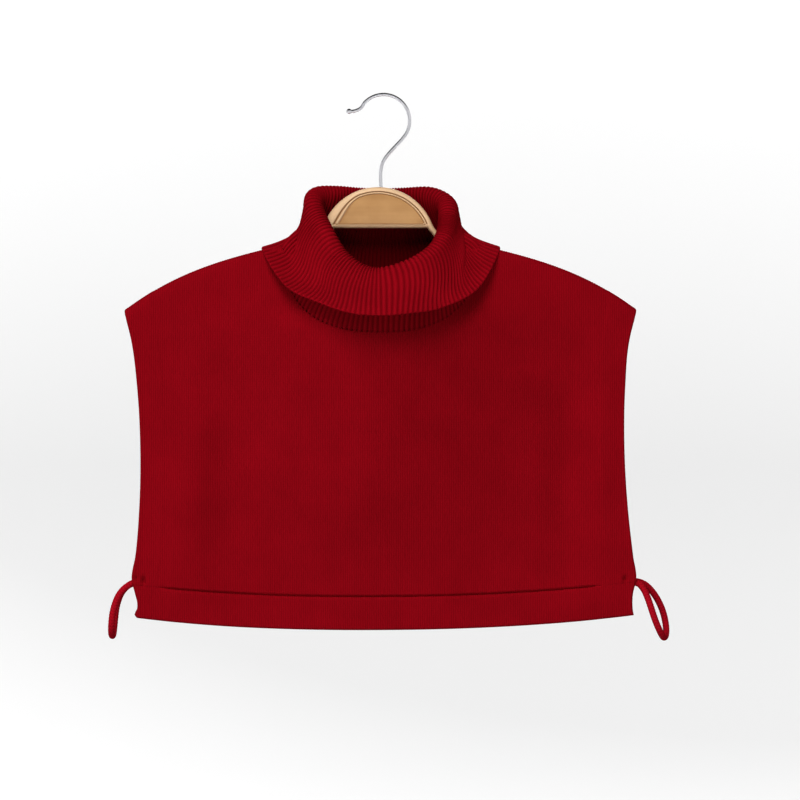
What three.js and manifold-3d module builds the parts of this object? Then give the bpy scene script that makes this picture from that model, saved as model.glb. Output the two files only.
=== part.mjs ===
// Knitted neck warmer with a rolled rib collar, on a wooden hanger with a wire hook.
// Millimetres. Seen from the front, +X is to the right, +Y to the back and +Z up.
// The origin is the inside of the hook's crown, where a rail carries it.

import * as THREE from 'three';
import { mergeVertices } from 'three/addons/utils/BufferGeometryUtils.js';
import Module from 'manifold-3d';

const wasm = await Module();
wasm.setup();

// Cloth
const CLOTH = 2;                 // wall of the fine knitted panels
const RIB_CLOTH = 2.6;           // wall of the ribbed collar
const HEM_CLOTH = 3.6;           // the hem is two layers
const HEM_PROUD = 0.6;           // how far the hem stands out past the panel
const HEM_HEIGHT = 26.5;
const GAP = 0.4;                 // between pieces that touch
const CORD_DIAMETER = 5.5;

// Shoulders and neck of the garment
const SHOULDER_HALF_WIDTH = 210;
const NECK_HALF_WIDTH = 80;
const NECK_POINT_HEIGHT = -122;  // where the shoulder seam meets the collar
const SHOULDER_SLOPE = 31;       // fall from the neck point to the shoulder tip
const SHOULDER_ROUND = 23;       // further fall, gathered near the tip
const NECK_DROP = { front: 72, back: 21 };
const NECK_ROUNDNESS = 2.5;      // 2 is an ellipse, more is squarer
const OVER_ARM_DEPTH = 9.6;      // from the hanger's middle to the cloth's outer face
const OVER_ARM_FALL = 9;
const OVER_ARM_ROUNDNESS = 3.5;

// How far the cloth stands away from the hanger around the neck
const STAND_OFF = {
  front: { depth: 33, width: 95, rise: 70, kept: 0.15 },
  back: { depth: 7, width: 90, rise: 50, kept: 0.3 },
};
const STAND_OFF_TOP = -194;

// Hem
const HEM_LOW = -436.5;
const HEM_RISE = 9;              // the ends of the hem are higher than its middle
const HEM_TILT = 0.004;
const HEM_TOP_RISE = 0.7;

// Side edges of the panels, from the shoulder tip down
const SIDE_EDGES = [
  { height: -176, left: -210, right: 209 },
  { height: -200, left: -204, right: 203 },
  { height: -240, left: -199, right: 199.5 },
  { height: -290, left: -196.5, right: 199 },
  { height: -340, left: -197.5, right: 202 },
  { height: -376, left: -200.5, right: 206 },
  { height: -396, left: -203.5, right: 208.5 },
  { height: -407, left: -201, right: 206 },
  { height: -422, left: -199, right: 205.5 },
  { height: -436, left: -197.5, right: 207 },
];

// Soft upright folds: positive lift comes away from the hanger
const FOLD_EASE = 1.5;           // how gently a fold starts and ends
const FRONT_FOLDS = [
  { x: -178, width: 16, lift: 3, top: -190, bottom: -395 },
  { x: -139, width: 20, lift: -2.5, top: -240, bottom: -400 },
  { x: -26, width: 28, lift: 1.5, top: -300, bottom: -400 },
  { x: 130, width: 20, lift: -2.5, top: -290, bottom: -400 },
  { x: 156, width: 17, lift: 3, top: -190, bottom: -370 },
];
const BACK_FOLDS = [
  { x: -90, width: 30, lift: 3, top: -200, bottom: -420 },
  { x: 20, width: 34, lift: -2, top: -220, bottom: -420 },
  { x: 110, width: 30, lift: 3, top: -210, bottom: -420 },
];

// The collar, a row for each eighth of half a turn from the front round the right side.
// fold is the middle of the rolled top edge, edge is the free edge of the turned-down flap.
const ROLL_RADIUS = 7;
const COLLAR = [
  { fold: [0, -36, -150], edge: [1, -66, -182] },
  { fold: [24, -34, -143], edge: [25, -63, -180] },
  { fold: [43, -28, -131], edge: [50, -53, -175] },
  { fold: [52, -19, -117], edge: [79, -34, -157] },
  { fold: [55, -8, -100], edge: [97.5, -6, -122.8] },
  { fold: [53, 6, -88], edge: [88, 16, -124] },
  { fold: [40, 17, -81], edge: [68, 27, -133] },
  { fold: [20, 24, -81], edge: [37, 34, -138] },
  { fold: [0, 26, -81.5], edge: [0, 36, -139] },
  { fold: [-19, 24, -81], edge: [-37, 34, -138] },
  { fold: [-38, 18, -80], edge: [-68, 27, -133] },
  { fold: [-53, 8, -82], edge: [-88, 16, -124] },
  { fold: [-55, -7, -92], edge: [-97.5, -6, -122.8] },
  { fold: [-48, -17, -109], edge: [-77, -34, -155] },
  { fold: [-35, -28, -132], edge: [-47, -53, -172] },
  { fold: [-18, -34, -146], edge: [-23, -63, -180] },
];
const TUBE_TENSION = 34;         // how straight the inner tube leaves the neck seam
const FLAP_TENSION = 38;
const FALL_STEEPNESS = 1.6;      // how steeply the flap leaves the roll
const FLARE = { front: -0.3, side: 1 };

// Hanger
const ARM_THICKNESS = 12;
const ARM_BEVEL = 2;
const ARM_HALF_LENGTH = 198;
const ARM_DEPTH = { root: 27, tip: 17 };
const ARM_TIP_ROUND = 9;
const ARM_BELOW_CLOTH = CLOTH + 1.3;
const ARM_NECK_DIP = { depth: 3.4, width: 12 };   // the arm is lower where the collar crosses it
const DOME = { x: -2.3, height: -122.2, radius: 47.6, reach: 44.4 };
const DOME_FOOT = { beyond: 5, height: -117 };       // the curve from dome to arm is drawn to this
const UNDERSIDE = { height: -108, halfWidth: 38 };
const UNDERSIDE_BEND = { beyond: 12, height: -124 };
const ARM_STEPS = 8;

// Hook
const WIRE_RADIUS = 1.45;
const HOOK_RADIUS = 21.4;        // to the middle of the wire
const HOOK_X = 2.1;
const HOOK_START = -40;          // degrees, where the stem's bend joins the round
const HOOK_END = 152;
const HOOK_STEP = 16;
const TIP_LEAD = { x: 4, height: 0.2 };   // from the tip back to the point before it
const HOOK_TIP = { x: -26.2, height: -12.4, radius: 2.3 };
const STEM_FOOT = -92;
const STEM_TOP = -60;
const STEM_BEND = { x: 2.6, height: -52 };
const STEM_HOLE = { radius: 1.9, length: 30 };   // long enough to open at the dome's top

// Routes of the two side cords, from the front panel's edge round to the back panel's
const LEFT_CORD = [
  [-190, -4.1, -398.1], [-195.5, -4.1, -398.1], [-201, -4.2, -398.5], [-206, -5.1, -400.4],
  [-210.6, -7, -403.9], [-214.3, -9.4, -409], [-216.8, -11.3, -415.2], [-218.5, -12.4, -422],
  [-219.4, -12.6, -429], [-219.9, -11.1, -435.5], [-220.1, -7, -440.2], [-220.1, 0, -442.2],
  [-220.1, 7, -440.2], [-219.9, 11.1, -435.4], [-219.4, 12.6, -428.8], [-218.5, 12.4, -421.6],
  [-216.8, 11.3, -414.8], [-214.3, 9.4, -408.8], [-210.5, 7, -403.8], [-206, 5.1, -400.4],
  [-201, 4.2, -398.5], [-195.5, 4.1, -398.1], [-190, 4.1, -398.1],
];
const RIGHT_CORD = [
  [195, -4, -397.8], [200.5, -4, -397.8], [206.2, -4.1, -398], [211.2, -4.7, -399.5],
  [215, -6.4, -404], [217.6, -8.6, -409.8], [219.8, -10.7, -416.4], [221.9, -12.2, -423.2],
  [224.2, -12.6, -429.8], [226.9, -11.3, -436], [229.6, -7.4, -441], [232, -1.2, -443.5],
  [234, 5.4, -442.3], [234.9, 10.4, -437.8], [234.3, 12.6, -431.2], [232.6, 12.6, -424.2],
  [229.9, 11.6, -417.4], [226.2, 9.9, -410.8], [221.6, 7.9, -404.8], [216.2, 5.9, -400.2],
  [210.2, 4.6, -398.1], [203.6, 4.1, -397.8], [197, 4, -397.8],
];

// Finishes
const FINISH = {
  knit: { color: 0x850a15, roughness: 0.95, metalness: 0 },
  rib: { color: 0x8c0a17, roughness: 0.95, metalness: 0 },
  cord: { color: 0x960f1e, roughness: 0.95, metalness: 0 },
  wood: { color: 0xba8d60, roughness: 0.45, metalness: 0 },
  chrome: { color: 0xc8c8ca, roughness: 0.15, metalness: 1 },
};

// Grid fineness
const AROUND_COLLAR = 60;
const SIDE_CROWDING = 0.65;      // 0 is even, 1 is closest
const TUBE_ROWS = 5;
const ROLL_ROWS = 6;
const FLAP_ROWS = 6;
const NECK_COLUMNS = 18;
const SHOULDER_COLUMNS = 10;
const PANEL_ROWS = 11;
const TURN_OVER_ROWS = [0, 0.7, 3, 9];   // distances below the shoulder seam
const HEM_ROWS = 2;

const mix = THREE.MathUtils.lerp;
const radians = THREE.MathUtils.degToRad;

function smooth(value) {
  return THREE.MathUtils.smoothstep(value, 0, 1);
}

// Cubic curve between two values with given slopes
function hermite(from, slopeFrom, to, slopeTo, t) {
  const t2 = t * t;
  const t3 = t2 * t;
  return from * (2 * t3 - 3 * t2 + 1) + slopeFrom * (t3 - 2 * t2 + t)
    + to * (3 * t2 - 2 * t3) + slopeTo * (t3 - t2);
}

// Smooth reading of one column of a table whose rows run down from the top
function readDown(rows, column, height) {
  const last = rows.length - 1;
  if (height >= rows[0].height) return rows[0][column];
  if (height <= rows[last].height) return rows[last][column];
  const i = rows.findIndex((row, n) => n < last && height > rows[n + 1].height);
  const span = (n) => rows[n].height - rows[n + 1].height;
  const slope = (n) => {
    const above = Math.max(n - 1, 0);
    const below = Math.min(n + 1, last);
    return (rows[below][column] - rows[above][column]) / (rows[above].height - rows[below].height);
  };
  const t = (rows[i].height - height) / span(i);
  return hermite(rows[i][column], slope(i) * span(i), rows[i + 1][column], slope(i + 1) * span(i), t);
}

// Smooth reading of a ring of equally spaced points, turn from 0 to 1
function readAround(rows, column, turn) {
  const count = rows.length;
  const place = (turn - Math.floor(turn)) * count;
  const i = Math.floor(place);
  const at = (n) => rows[(n + count) % count][column];
  const [a, b, c, d] = [at(i - 1), at(i), at(i + 1), at(i + 2)];
  const axis = (k) => hermite(b[k], (c[k] - a[k]) / 2, c[k], (d[k] - b[k]) / 2, place - i);
  return new THREE.Vector3(axis(0), axis(1), axis(2));
}

// Height of the shoulder seam, level across the neck
function shoulderHeight(x) {
  const reach = SHOULDER_HALF_WIDTH - NECK_HALF_WIDTH;
  const t = Math.max(Math.abs(x) - NECK_HALF_WIDTH, 0) / reach;
  return NECK_POINT_HEIGHT - SHOULDER_SLOPE * t - SHOULDER_ROUND * t ** 3;
}

// Top edge of a panel: the neck seam, then the shoulder seam
function panelTop(x, face) {
  const t = Math.abs(x) / NECK_HALF_WIDTH;
  if (t >= 1) return shoulderHeight(x);
  return NECK_POINT_HEIGHT - NECK_DROP[face] * (1 - t ** NECK_ROUNDNESS) ** (1 / NECK_ROUNDNESS);
}

function hemHeight(x) {
  return HEM_LOW + HEM_RISE * (Math.abs(x) / SHOULDER_HALF_WIDTH) ** 3 + HEM_TILT * x;
}

// A column keeps to the upright, and the outer ones follow the side edge
function columnX(nominal, height) {
  const side = nominal < 0 ? 'left' : 'right';
  const edge = Math.abs(readDown(SIDE_EDGES, side, height));
  const pull = (edge - SHOULDER_HALF_WIDTH) * (Math.abs(nominal) / SHOULDER_HALF_WIDTH) ** 3;
  return nominal + Math.sign(nominal) * pull;
}

// Cloth turning over the hanger's arm, as a depth below the shoulder seam
function overArm(below) {
  const t = Math.min(Math.max(below, 0) / OVER_ARM_FALL, 1);
  return OVER_ARM_DEPTH * (1 - (1 - t) ** OVER_ARM_ROUNDNESS) ** (1 / OVER_ARM_ROUNDNESS);
}

function foldLift(folds, x, height) {
  return folds.reduce((total, fold) => {
    const along = (fold.top - height) / (fold.top - fold.bottom);
    if (along <= 0 || along >= 1) return total;
    const across = (x - fold.x) / fold.width;
    return total + fold.lift * Math.sin(Math.PI * along) ** FOLD_EASE * Math.exp(-across * across);
  }, 0);
}

// Distance of a panel's outer face from the hanger's middle plane
function clothDepth(face, x, height) {
  const below = shoulderHeight(x) - height;
  const { depth, width, rise, kept } = STAND_OFF[face];
  const down = smooth((STAND_OFF_TOP - height) / (STAND_OFF_TOP - HEM_LOW));
  const risen = smooth((NECK_POINT_HEIGHT - height) / rise);
  const stand = depth * risen * Math.exp(-((x / width) ** 2)) * mix(1, kept, down);
  const folds = face === 'front' ? FRONT_FOLDS : BACK_FOLDS;
  return GAP / 2 + overArm(below) + stand + foldLift(folds, x, height);
}

function sideOf(face) {
  return face === 'front' ? -1 : 1;
}

// Outward normal of a panel's outer face
function clothNormal(face, x, height) {
  const step = 0.1;
  const across = clothDepth(face, x + step, height) - clothDepth(face, x - step, height);
  const upward = clothDepth(face, x, height + step) - clothDepth(face, x, height - step);
  return new THREE.Vector3(-across / (2 * step), sideOf(face), -upward / (2 * step)).normalize();
}

// Closed wall between two grids of points, given as rows of equal length.
// A ring is closed along each row, and a sheet gets its two end rims as well.
function wall(outer, inner, ring) {
  const rows = outer.length;
  const columns = outer[0].length;
  const points = [...outer.flat(), ...inner.flat()];
  const index = (layer, i, j) => layer * rows * columns + i * columns + (j % columns);
  const triangles = [];
  const quad = (a, b, c, d) => triangles.push(a, b, c, a, c, d);
  const steps = ring ? columns : columns - 1;
  for (let i = 0; i + 1 < rows; i++) {
    for (let j = 0; j < steps; j++) {
      quad(index(0, i, j), index(0, i + 1, j), index(0, i + 1, j + 1), index(0, i, j + 1));
      quad(index(1, i, j), index(1, i, j + 1), index(1, i + 1, j + 1), index(1, i + 1, j));
    }
  }
  for (let j = 0; j < steps; j++) {
    quad(index(0, 0, j), index(0, 0, j + 1), index(1, 0, j + 1), index(1, 0, j));
    const end = rows - 1;
    quad(index(0, end, j), index(1, end, j), index(1, end, j + 1), index(0, end, j + 1));
  }
  for (let i = 0; !ring && i + 1 < rows; i++) {
    const end = columns - 1;
    quad(index(0, i, 0), index(1, i, 0), index(1, i + 1, 0), index(0, i + 1, 0));
    quad(index(0, i, end), index(0, i + 1, end), index(1, i + 1, end), index(1, i, end));
  }
  return facingOut(points, triangles);
}

// Geometry of a closed mesh, turned round where its faces point in
function facingOut(points, triangles) {
  let volume = 0;
  for (let n = 0; n < triangles.length; n += 3) {
    const [a, b, c] = [0, 1, 2].map((k) => points[triangles[n + k]]);
    volume += a.dot(b.clone().cross(c));
  }
  const order = volume < 0 ? triangles.slice().reverse() : triangles;
  const geometry = new THREE.BufferGeometry().setFromPoints(points);
  geometry.setIndex(order);
  return geometry;
}

// Unit normals of a grid whose rows are rings, from its neighbours
function ringNormals(grid) {
  const rows = grid.length;
  const columns = grid[0].length;
  return grid.map((row, i) => row.map((point, j) => {
    const above = grid[Math.max(i - 1, 0)][j];
    const below = grid[Math.min(i + 1, rows - 1)][j];
    const along = row[(j + 1) % columns].clone().sub(row[(j + columns - 1) % columns]);
    return below.clone().sub(above).cross(along).normalize();
  }));
}

function offsetGrid(grid, normals, distance) {
  const moved = (point, i, j) => point.clone().addScaledVector(normals[i][j], distance);
  return grid.map((row, i) => row.map((point, j) => moved(point, i, j)));
}

// Sine or cosine raised so that the pair runs round the squared ellipse of the neck seam
function neckPower(value) {
  return Math.sign(value) * Math.abs(value) ** (2 / NECK_ROUNDNESS);
}

// Turns that lie closer together at the two sides, where the cloth bends over the arms
function closerAtSides(turn) {
  return turn + (SIDE_CROWDING * Math.sin(4 * Math.PI * turn)) / (4 * Math.PI);
}

// Nominal places of a panel's columns, close together where the neck seam is steep
function panelColumns() {
  const neck = [];
  for (let n = 0; n <= NECK_COLUMNS; n++) {
    const turn = closerAtSides(mix(-0.25, 0.25, n / NECK_COLUMNS));
    neck.push(NECK_HALF_WIDTH * neckPower(Math.sin(2 * Math.PI * turn)));
  }
  const shoulder = [];
  for (let n = 1; n <= SHOULDER_COLUMNS; n++) {
    shoulder.push(mix(NECK_HALF_WIDTH, SHOULDER_HALF_WIDTH, n / SHOULDER_COLUMNS));
  }
  return [...shoulder.map((x) => -x).reverse(), ...neck, ...shoulder];
}

// One face of a wall, a row of points for each height
function clothGrid(face, heightsOf, proud) {
  const columns = panelColumns().map((nominal) => heightsOf(nominal).map((height) => {
    const x = columnX(nominal, height);
    return new THREE.Vector3(x, sideOf(face) * (clothDepth(face, x, height) + proud), height);
  }));
  return columns[0].map((_, i) => columns.map((column) => column[i]));
}

// Cloth with the given wall inside its outer face, which never crosses the seam plane
function clothWall(face, heightsOf, proud, thickness) {
  const outer = clothGrid(face, heightsOf, proud);
  const normals = outer.map((row) => row.map((point) => clothNormal(face, point.x, point.z)));
  const inner = offsetGrid(outer, normals, -thickness);
  for (const point of inner.flat()) {
    point.y = sideOf(face) * Math.max(sideOf(face) * point.y, GAP / 2);
  }
  return wall(outer, inner, false);
}

// Top of a panel's column. On the shoulder it is on the seam where the side edge has drawn the column
function columnTop(nominal, face) {
  const top = panelTop(nominal, face);
  return Math.abs(nominal) > NECK_HALF_WIDTH ? shoulderHeight(columnX(nominal, top)) : top;
}

function panel(face) {
  return clothWall(face, (x) => {
    const top = columnTop(x, face);
    const bottom = hemHeight(x) + HEM_HEIGHT + HEM_TOP_RISE + GAP;
    const turnOver = TURN_OVER_ROWS.map((below) => top - below);
    const start = turnOver[turnOver.length - 1];
    const rest = Array.from({ length: PANEL_ROWS }, (_, n) => mix(start, bottom, (n + 1) / PANEL_ROWS));
    return [...turnOver, ...rest];
  }, 0, CLOTH);
}

function hemBand(face) {
  return clothWall(face, (x) => {
    const top = hemHeight(x) + HEM_HEIGHT + HEM_TOP_RISE;
    return Array.from({ length: HEM_ROWS + 1 }, (_, n) => mix(top, hemHeight(x), n / HEM_ROWS));
  }, HEM_PROUD, HEM_CLOTH);
}

// Middle of the collar's wall at the neck seam
function collarFoot(turn) {
  const angle = turn * 2 * Math.PI;
  const face = Math.cos(angle) > 0 ? 'front' : 'back';
  const x = (NECK_HALF_WIDTH - GAP - RIB_CLOTH / 2) * neckPower(Math.sin(angle));
  const z = NECK_POINT_HEIGHT + GAP - (NECK_DROP[face] - 2 * GAP) * Math.abs(neckPower(Math.cos(angle)));
  const depth = clothDepth(face, x, z) - RIB_CLOTH / 2;
  return new THREE.Vector3(x, sideOf(face) * Math.max(depth, 0), z);
}

function hermitePoint(from, slopeFrom, to, slopeTo, t) {
  const axis = (k) => hermite(from[k], slopeFrom[k], to[k], slopeTo[k], t);
  return new THREE.Vector3(axis('x'), axis('y'), axis('z'));
}

// The middle of the collar's wall from the neck seam, over the roll, down to the free edge
function collarSection(turn) {
  const step = 0.01;
  const fold = readAround(COLLAR, 'fold', turn);
  const edge = readAround(COLLAR, 'edge', turn);
  const foot = collarFoot(turn);
  const along = readAround(COLLAR, 'fold', turn + step).sub(readAround(COLLAR, 'fold', turn - step));
  along.normalize();
  const out = new THREE.Vector3(along.y, -along.x, 0).normalize();
  const up = out.clone().cross(along).normalize();
  if (up.z < 0) up.negate();
  const inside = fold.clone().addScaledVector(out, -ROLL_RADIUS);
  const outside = fold.clone().addScaledVector(out, ROLL_RADIUS);
  const sideways = Math.sin(turn * 2 * Math.PI) ** 2;
  const chord = edge.clone().sub(outside).normalize();
  const flare = chord.clone().addScaledVector(out, mix(FLARE.front, FLARE.side, sideways)).normalize();
  const rise = inside.clone().sub(foot).normalize().add(new THREE.Vector3(0, 0, 1)).normalize();
  const points = [];
  for (let n = 0; n < TUBE_ROWS; n++) {
    points.push(hermitePoint(foot, rise.clone().multiplyScalar(TUBE_TENSION), inside,
      up.clone().multiplyScalar(TUBE_TENSION), n / TUBE_ROWS));
  }
  for (let n = 0; n <= ROLL_ROWS; n++) {
    const angle = radians(mix(-90, 90, n / ROLL_ROWS));
    points.push(fold.clone().addScaledVector(out, ROLL_RADIUS * Math.sin(angle))
      .addScaledVector(up, ROLL_RADIUS * Math.cos(angle)));
  }
  const fall = chord.clone().addScaledVector(up, -FALL_STEEPNESS).normalize();
  for (let n = 1; n <= FLAP_ROWS; n++) {
    points.push(hermitePoint(outside, fall.clone().multiplyScalar(FLAP_TENSION), edge,
      flare.clone().multiplyScalar(FLAP_TENSION), n / FLAP_ROWS));
  }
  return points;
}

function rollCollar() {
  const turns = Array.from({ length: AROUND_COLLAR }, (_, n) => closerAtSides(n / AROUND_COLLAR));
  const sections = turns.map(collarSection);
  const middle = sections[0].map((_, i) => sections.map((section) => section[i]));
  const normals = ringNormals(middle);
  const outer = offsetGrid(middle, normals, RIB_CLOTH / 2);
  const inner = offsetGrid(middle, normals, -RIB_CLOTH / 2);
  return wall(outer, inner, true);
}

function toSolid(geometry) {
  const bare = geometry.clone();
  bare.deleteAttribute('normal');
  bare.deleteAttribute('uv');
  const merged = mergeVertices(bare);
  return new wasm.Manifold(new wasm.Mesh({
    numProp: 3,
    vertProperties: new Float32Array(merged.attributes.position.array),
    triVerts: new Uint32Array(merged.index.array),
  }));
}

function toGeometry(solid) {
  const mesh = solid.getMesh();
  const geometry = new THREE.BufferGeometry();
  geometry.setAttribute('position', new THREE.BufferAttribute(mesh.vertProperties, 3));
  geometry.setIndex(new THREE.BufferAttribute(mesh.triVerts, 1));
  return geometry;
}

function armTop(x) {
  const fromNeck = (Math.abs(x) - NECK_HALF_WIDTH) / ARM_NECK_DIP.width;
  return shoulderHeight(x) - ARM_BELOW_CLOTH - ARM_NECK_DIP.depth * Math.exp(-fromNeck * fromNeck);
}

function armBottom(x) {
  const t = (Math.abs(x) - NECK_HALF_WIDTH) / (ARM_HALF_LENGTH - NECK_HALF_WIDTH);
  return armTop(x) - mix(ARM_DEPTH.root, ARM_DEPTH.tip, t);
}

// Outline of the bar: the left arm, the dome, the right arm and back along the underside
function hangerOutline() {
  const shape = new THREE.Shape();
  const domeEdge = Math.sqrt(DOME.radius ** 2 - DOME.reach ** 2) + DOME.height;
  const domeStart = Math.atan2(domeEdge - DOME.height, -DOME.reach);
  const along = (n) => mix(ARM_HALF_LENGTH, NECK_HALF_WIDTH, n / ARM_STEPS);
  const tip = ARM_HALF_LENGTH;
  const end = ARM_HALF_LENGTH + ARM_TIP_ROUND;
  const bend = UNDERSIDE.halfWidth + UNDERSIDE_BEND.beyond;
  shape.moveTo(-tip, armBottom(tip));
  shape.bezierCurveTo(-end, armBottom(end), -end, armTop(end), -tip, armTop(tip));
  for (let n = 1; n <= ARM_STEPS; n++) shape.lineTo(-along(n), armTop(along(n)));
  const leftFoot = DOME.x - DOME.reach;
  const rightFoot = DOME.x + DOME.reach;
  shape.quadraticCurveTo(leftFoot - DOME_FOOT.beyond, DOME_FOOT.height, leftFoot, domeEdge);
  shape.absarc(DOME.x, DOME.height, DOME.radius, domeStart, Math.PI - domeStart, true);
  shape.quadraticCurveTo(rightFoot + DOME_FOOT.beyond, DOME_FOOT.height,
    NECK_HALF_WIDTH, armTop(NECK_HALF_WIDTH));
  for (let n = ARM_STEPS - 1; n >= 0; n--) shape.lineTo(along(n), armTop(along(n)));
  shape.bezierCurveTo(end, armTop(end), end, armBottom(end), tip, armBottom(tip));
  for (let n = 1; n <= ARM_STEPS; n++) shape.lineTo(along(n), armBottom(along(n)));
  shape.quadraticCurveTo(bend, UNDERSIDE_BEND.height, UNDERSIDE.halfWidth, UNDERSIDE.height);
  shape.lineTo(-UNDERSIDE.halfWidth, UNDERSIDE.height);
  shape.quadraticCurveTo(-bend, UNDERSIDE_BEND.height, -NECK_HALF_WIDTH, armBottom(NECK_HALF_WIDTH));
  for (let n = ARM_STEPS - 1; n > 0; n--) shape.lineTo(-along(n), armBottom(along(n)));
  return shape;
}

function hangerBar() {
  const bar = new THREE.ExtrudeGeometry(hangerOutline(), {
    depth: ARM_THICKNESS - 2 * ARM_BEVEL,
    bevelThickness: ARM_BEVEL,
    bevelSize: ARM_BEVEL,
    bevelOffset: -ARM_BEVEL,
    bevelSegments: 2,
    curveSegments: 10,
  });
  bar.translate(0, 0, ARM_BEVEL - ARM_THICKNESS / 2);
  bar.rotateX(Math.PI / 2);
  const hole = new THREE.CylinderGeometry(STEM_HOLE.radius, STEM_HOLE.radius, STEM_HOLE.length, 12);
  hole.rotateX(Math.PI / 2);
  hole.translate(0, 0, STEM_FOOT - GAP + STEM_HOLE.length / 2);
  return toGeometry(toSolid(bar).subtract(toSolid(hole)));
}

function hangerHook() {
  const centre = WIRE_RADIUS - HOOK_RADIUS;
  const points = [
    new THREE.Vector3(0, 0, STEM_FOOT),
    new THREE.Vector3(0, 0, mix(STEM_FOOT, STEM_TOP, 0.5)),
    new THREE.Vector3(0, 0, STEM_TOP),
    new THREE.Vector3(STEM_BEND.x, 0, STEM_BEND.height),
  ];
  for (let angle = HOOK_START; angle <= HOOK_END; angle += HOOK_STEP) {
    const turn = radians(angle);
    points.push(new THREE.Vector3(HOOK_X + HOOK_RADIUS * Math.cos(turn), 0,
      centre + HOOK_RADIUS * Math.sin(turn)));
  }
  points.push(new THREE.Vector3(HOOK_TIP.x + TIP_LEAD.x, 0, HOOK_TIP.height + TIP_LEAD.height));
  const tip = new THREE.Vector3(HOOK_TIP.x, 0, HOOK_TIP.height);
  points.push(tip);
  const wire = tube(new THREE.CatmullRomCurve3(points, false, 'centripetal'), WIRE_RADIUS, 10, 56);
  const ball = new THREE.SphereGeometry(HOOK_TIP.radius, 12, 8).translate(tip.x, tip.y, tip.z);
  return toGeometry(toSolid(wire).add(toSolid(ball)));
}

function tube(curve, radius, sides, steps) {
  const section = new THREE.Shape();
  for (let n = 0; n < sides; n++) {
    const angle = (2 * Math.PI * n) / sides;
    const [x, y] = [radius * Math.cos(angle), radius * Math.sin(angle)];
    if (n === 0) section.moveTo(x, y);
    else section.lineTo(x, y);
  }
  return new THREE.ExtrudeGeometry(section, { steps, extrudePath: curve, bevelEnabled: false });
}

function sideLoop(route) {
  const points = route.map(([x, y, z]) => new THREE.Vector3(x, y, z));
  return tube(new THREE.CatmullRomCurve3(points, false, 'centripetal'), CORD_DIAMETER / 2, 8, 30);
}

const model = new THREE.Group();

function addPiece(name, geometry, finish) {
  const mesh = new THREE.Mesh(geometry, new THREE.MeshStandardMaterial(FINISH[finish]));
  mesh.name = name;
  model.add(mesh);
}

addPiece('hanger_bar', hangerBar(), 'wood');
addPiece('hanger_hook', hangerHook(), 'chrome');
addPiece('front_panel', panel('front'), 'knit');
addPiece('back_panel', panel('back'), 'knit');
addPiece('front_hem_band', hemBand('front'), 'knit');
addPiece('back_hem_band', hemBand('back'), 'knit');
addPiece('roll_collar', rollCollar(), 'rib');
addPiece('left_side_loop', sideLoop(LEFT_CORD), 'cord');
addPiece('right_side_loop', sideLoop(RIGHT_CORD), 'cord');

export default model;
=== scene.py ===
"""Knitted neck warmer with a rolled rib collar, on a wooden hanger with a wire hook.

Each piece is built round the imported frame, in metres: seen from the front, +X is to the right,
+Y to the back and +Z up, and the origin is the inside of the hook's crown.
"""

import math

import bpy
import numpy as np
from bpy.props import FloatProperty, FloatVectorProperty, IntProperty, PointerProperty
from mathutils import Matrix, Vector


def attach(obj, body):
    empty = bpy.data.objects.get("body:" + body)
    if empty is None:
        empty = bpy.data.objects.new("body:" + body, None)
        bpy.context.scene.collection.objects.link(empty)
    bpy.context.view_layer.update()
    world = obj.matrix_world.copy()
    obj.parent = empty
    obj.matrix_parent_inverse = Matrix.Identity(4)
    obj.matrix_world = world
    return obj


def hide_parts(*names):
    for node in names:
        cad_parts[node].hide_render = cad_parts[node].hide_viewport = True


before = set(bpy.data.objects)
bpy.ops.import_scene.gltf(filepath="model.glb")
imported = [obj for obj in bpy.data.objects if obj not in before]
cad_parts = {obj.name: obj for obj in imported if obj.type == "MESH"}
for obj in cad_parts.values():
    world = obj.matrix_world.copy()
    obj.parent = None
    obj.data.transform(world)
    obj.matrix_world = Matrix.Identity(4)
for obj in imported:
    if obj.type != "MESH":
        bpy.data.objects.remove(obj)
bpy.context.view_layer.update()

bl_info = {
    "name": "Knitted neck warmer",
    "version": (1, 0, 0),
    "blender": (4, 5, 0),
    "location": "View3D > Sidebar > Neck warmer",
    "description": "Builds a knitted neck warmer with a rolled rib collar on a wooden hanger",
    "category": "Add Mesh",
}

BODY = "root"

# Shoulders and neck of the garment
SHOULDER_HALF_WIDTH = 0.210
NECK_HALF_WIDTH = 0.080
NECK_POINT_HEIGHT = -0.122       # where the shoulder seam meets the collar
SHOULDER_SLOPE = 0.031           # fall from the neck point to the shoulder tip
SHOULDER_ROUND = 0.023           # further fall, gathered near the tip
NECK_DROP = {"front": 0.072, "back": 0.021}
NECK_ROUNDNESS = 2.5             # 2 is an ellipse, more is squarer
SEAM_GAP = 0.0004
SEAM_STITCH = {"length": 0.0026, "width": 0.0014, "pitch": 0.0019, "lean": 0.4, "sunk": 0.0003}
SEAM_ENDS = {"neck": 0.002, "tip": 0.001}   # bare at each end of a shoulder seam
OVER_ARM_DEPTH = 0.0096          # from the hanger's middle to the cloth's outer face
OVER_ARM_FALL = 0.009            # height in which the cloth turns down over the arm
OVER_ARM_ROUNDNESS = 3.5

# How far the cloth stands away from the hanger round the neck
STAND_OFF = {
    "front": {"depth": 0.033, "width": 0.095, "rise": 0.070, "kept": 0.15},
    "back": {"depth": 0.007, "width": 0.090, "rise": 0.050, "kept": 0.3},
}
STAND_OFF_TOP = -0.194

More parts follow.
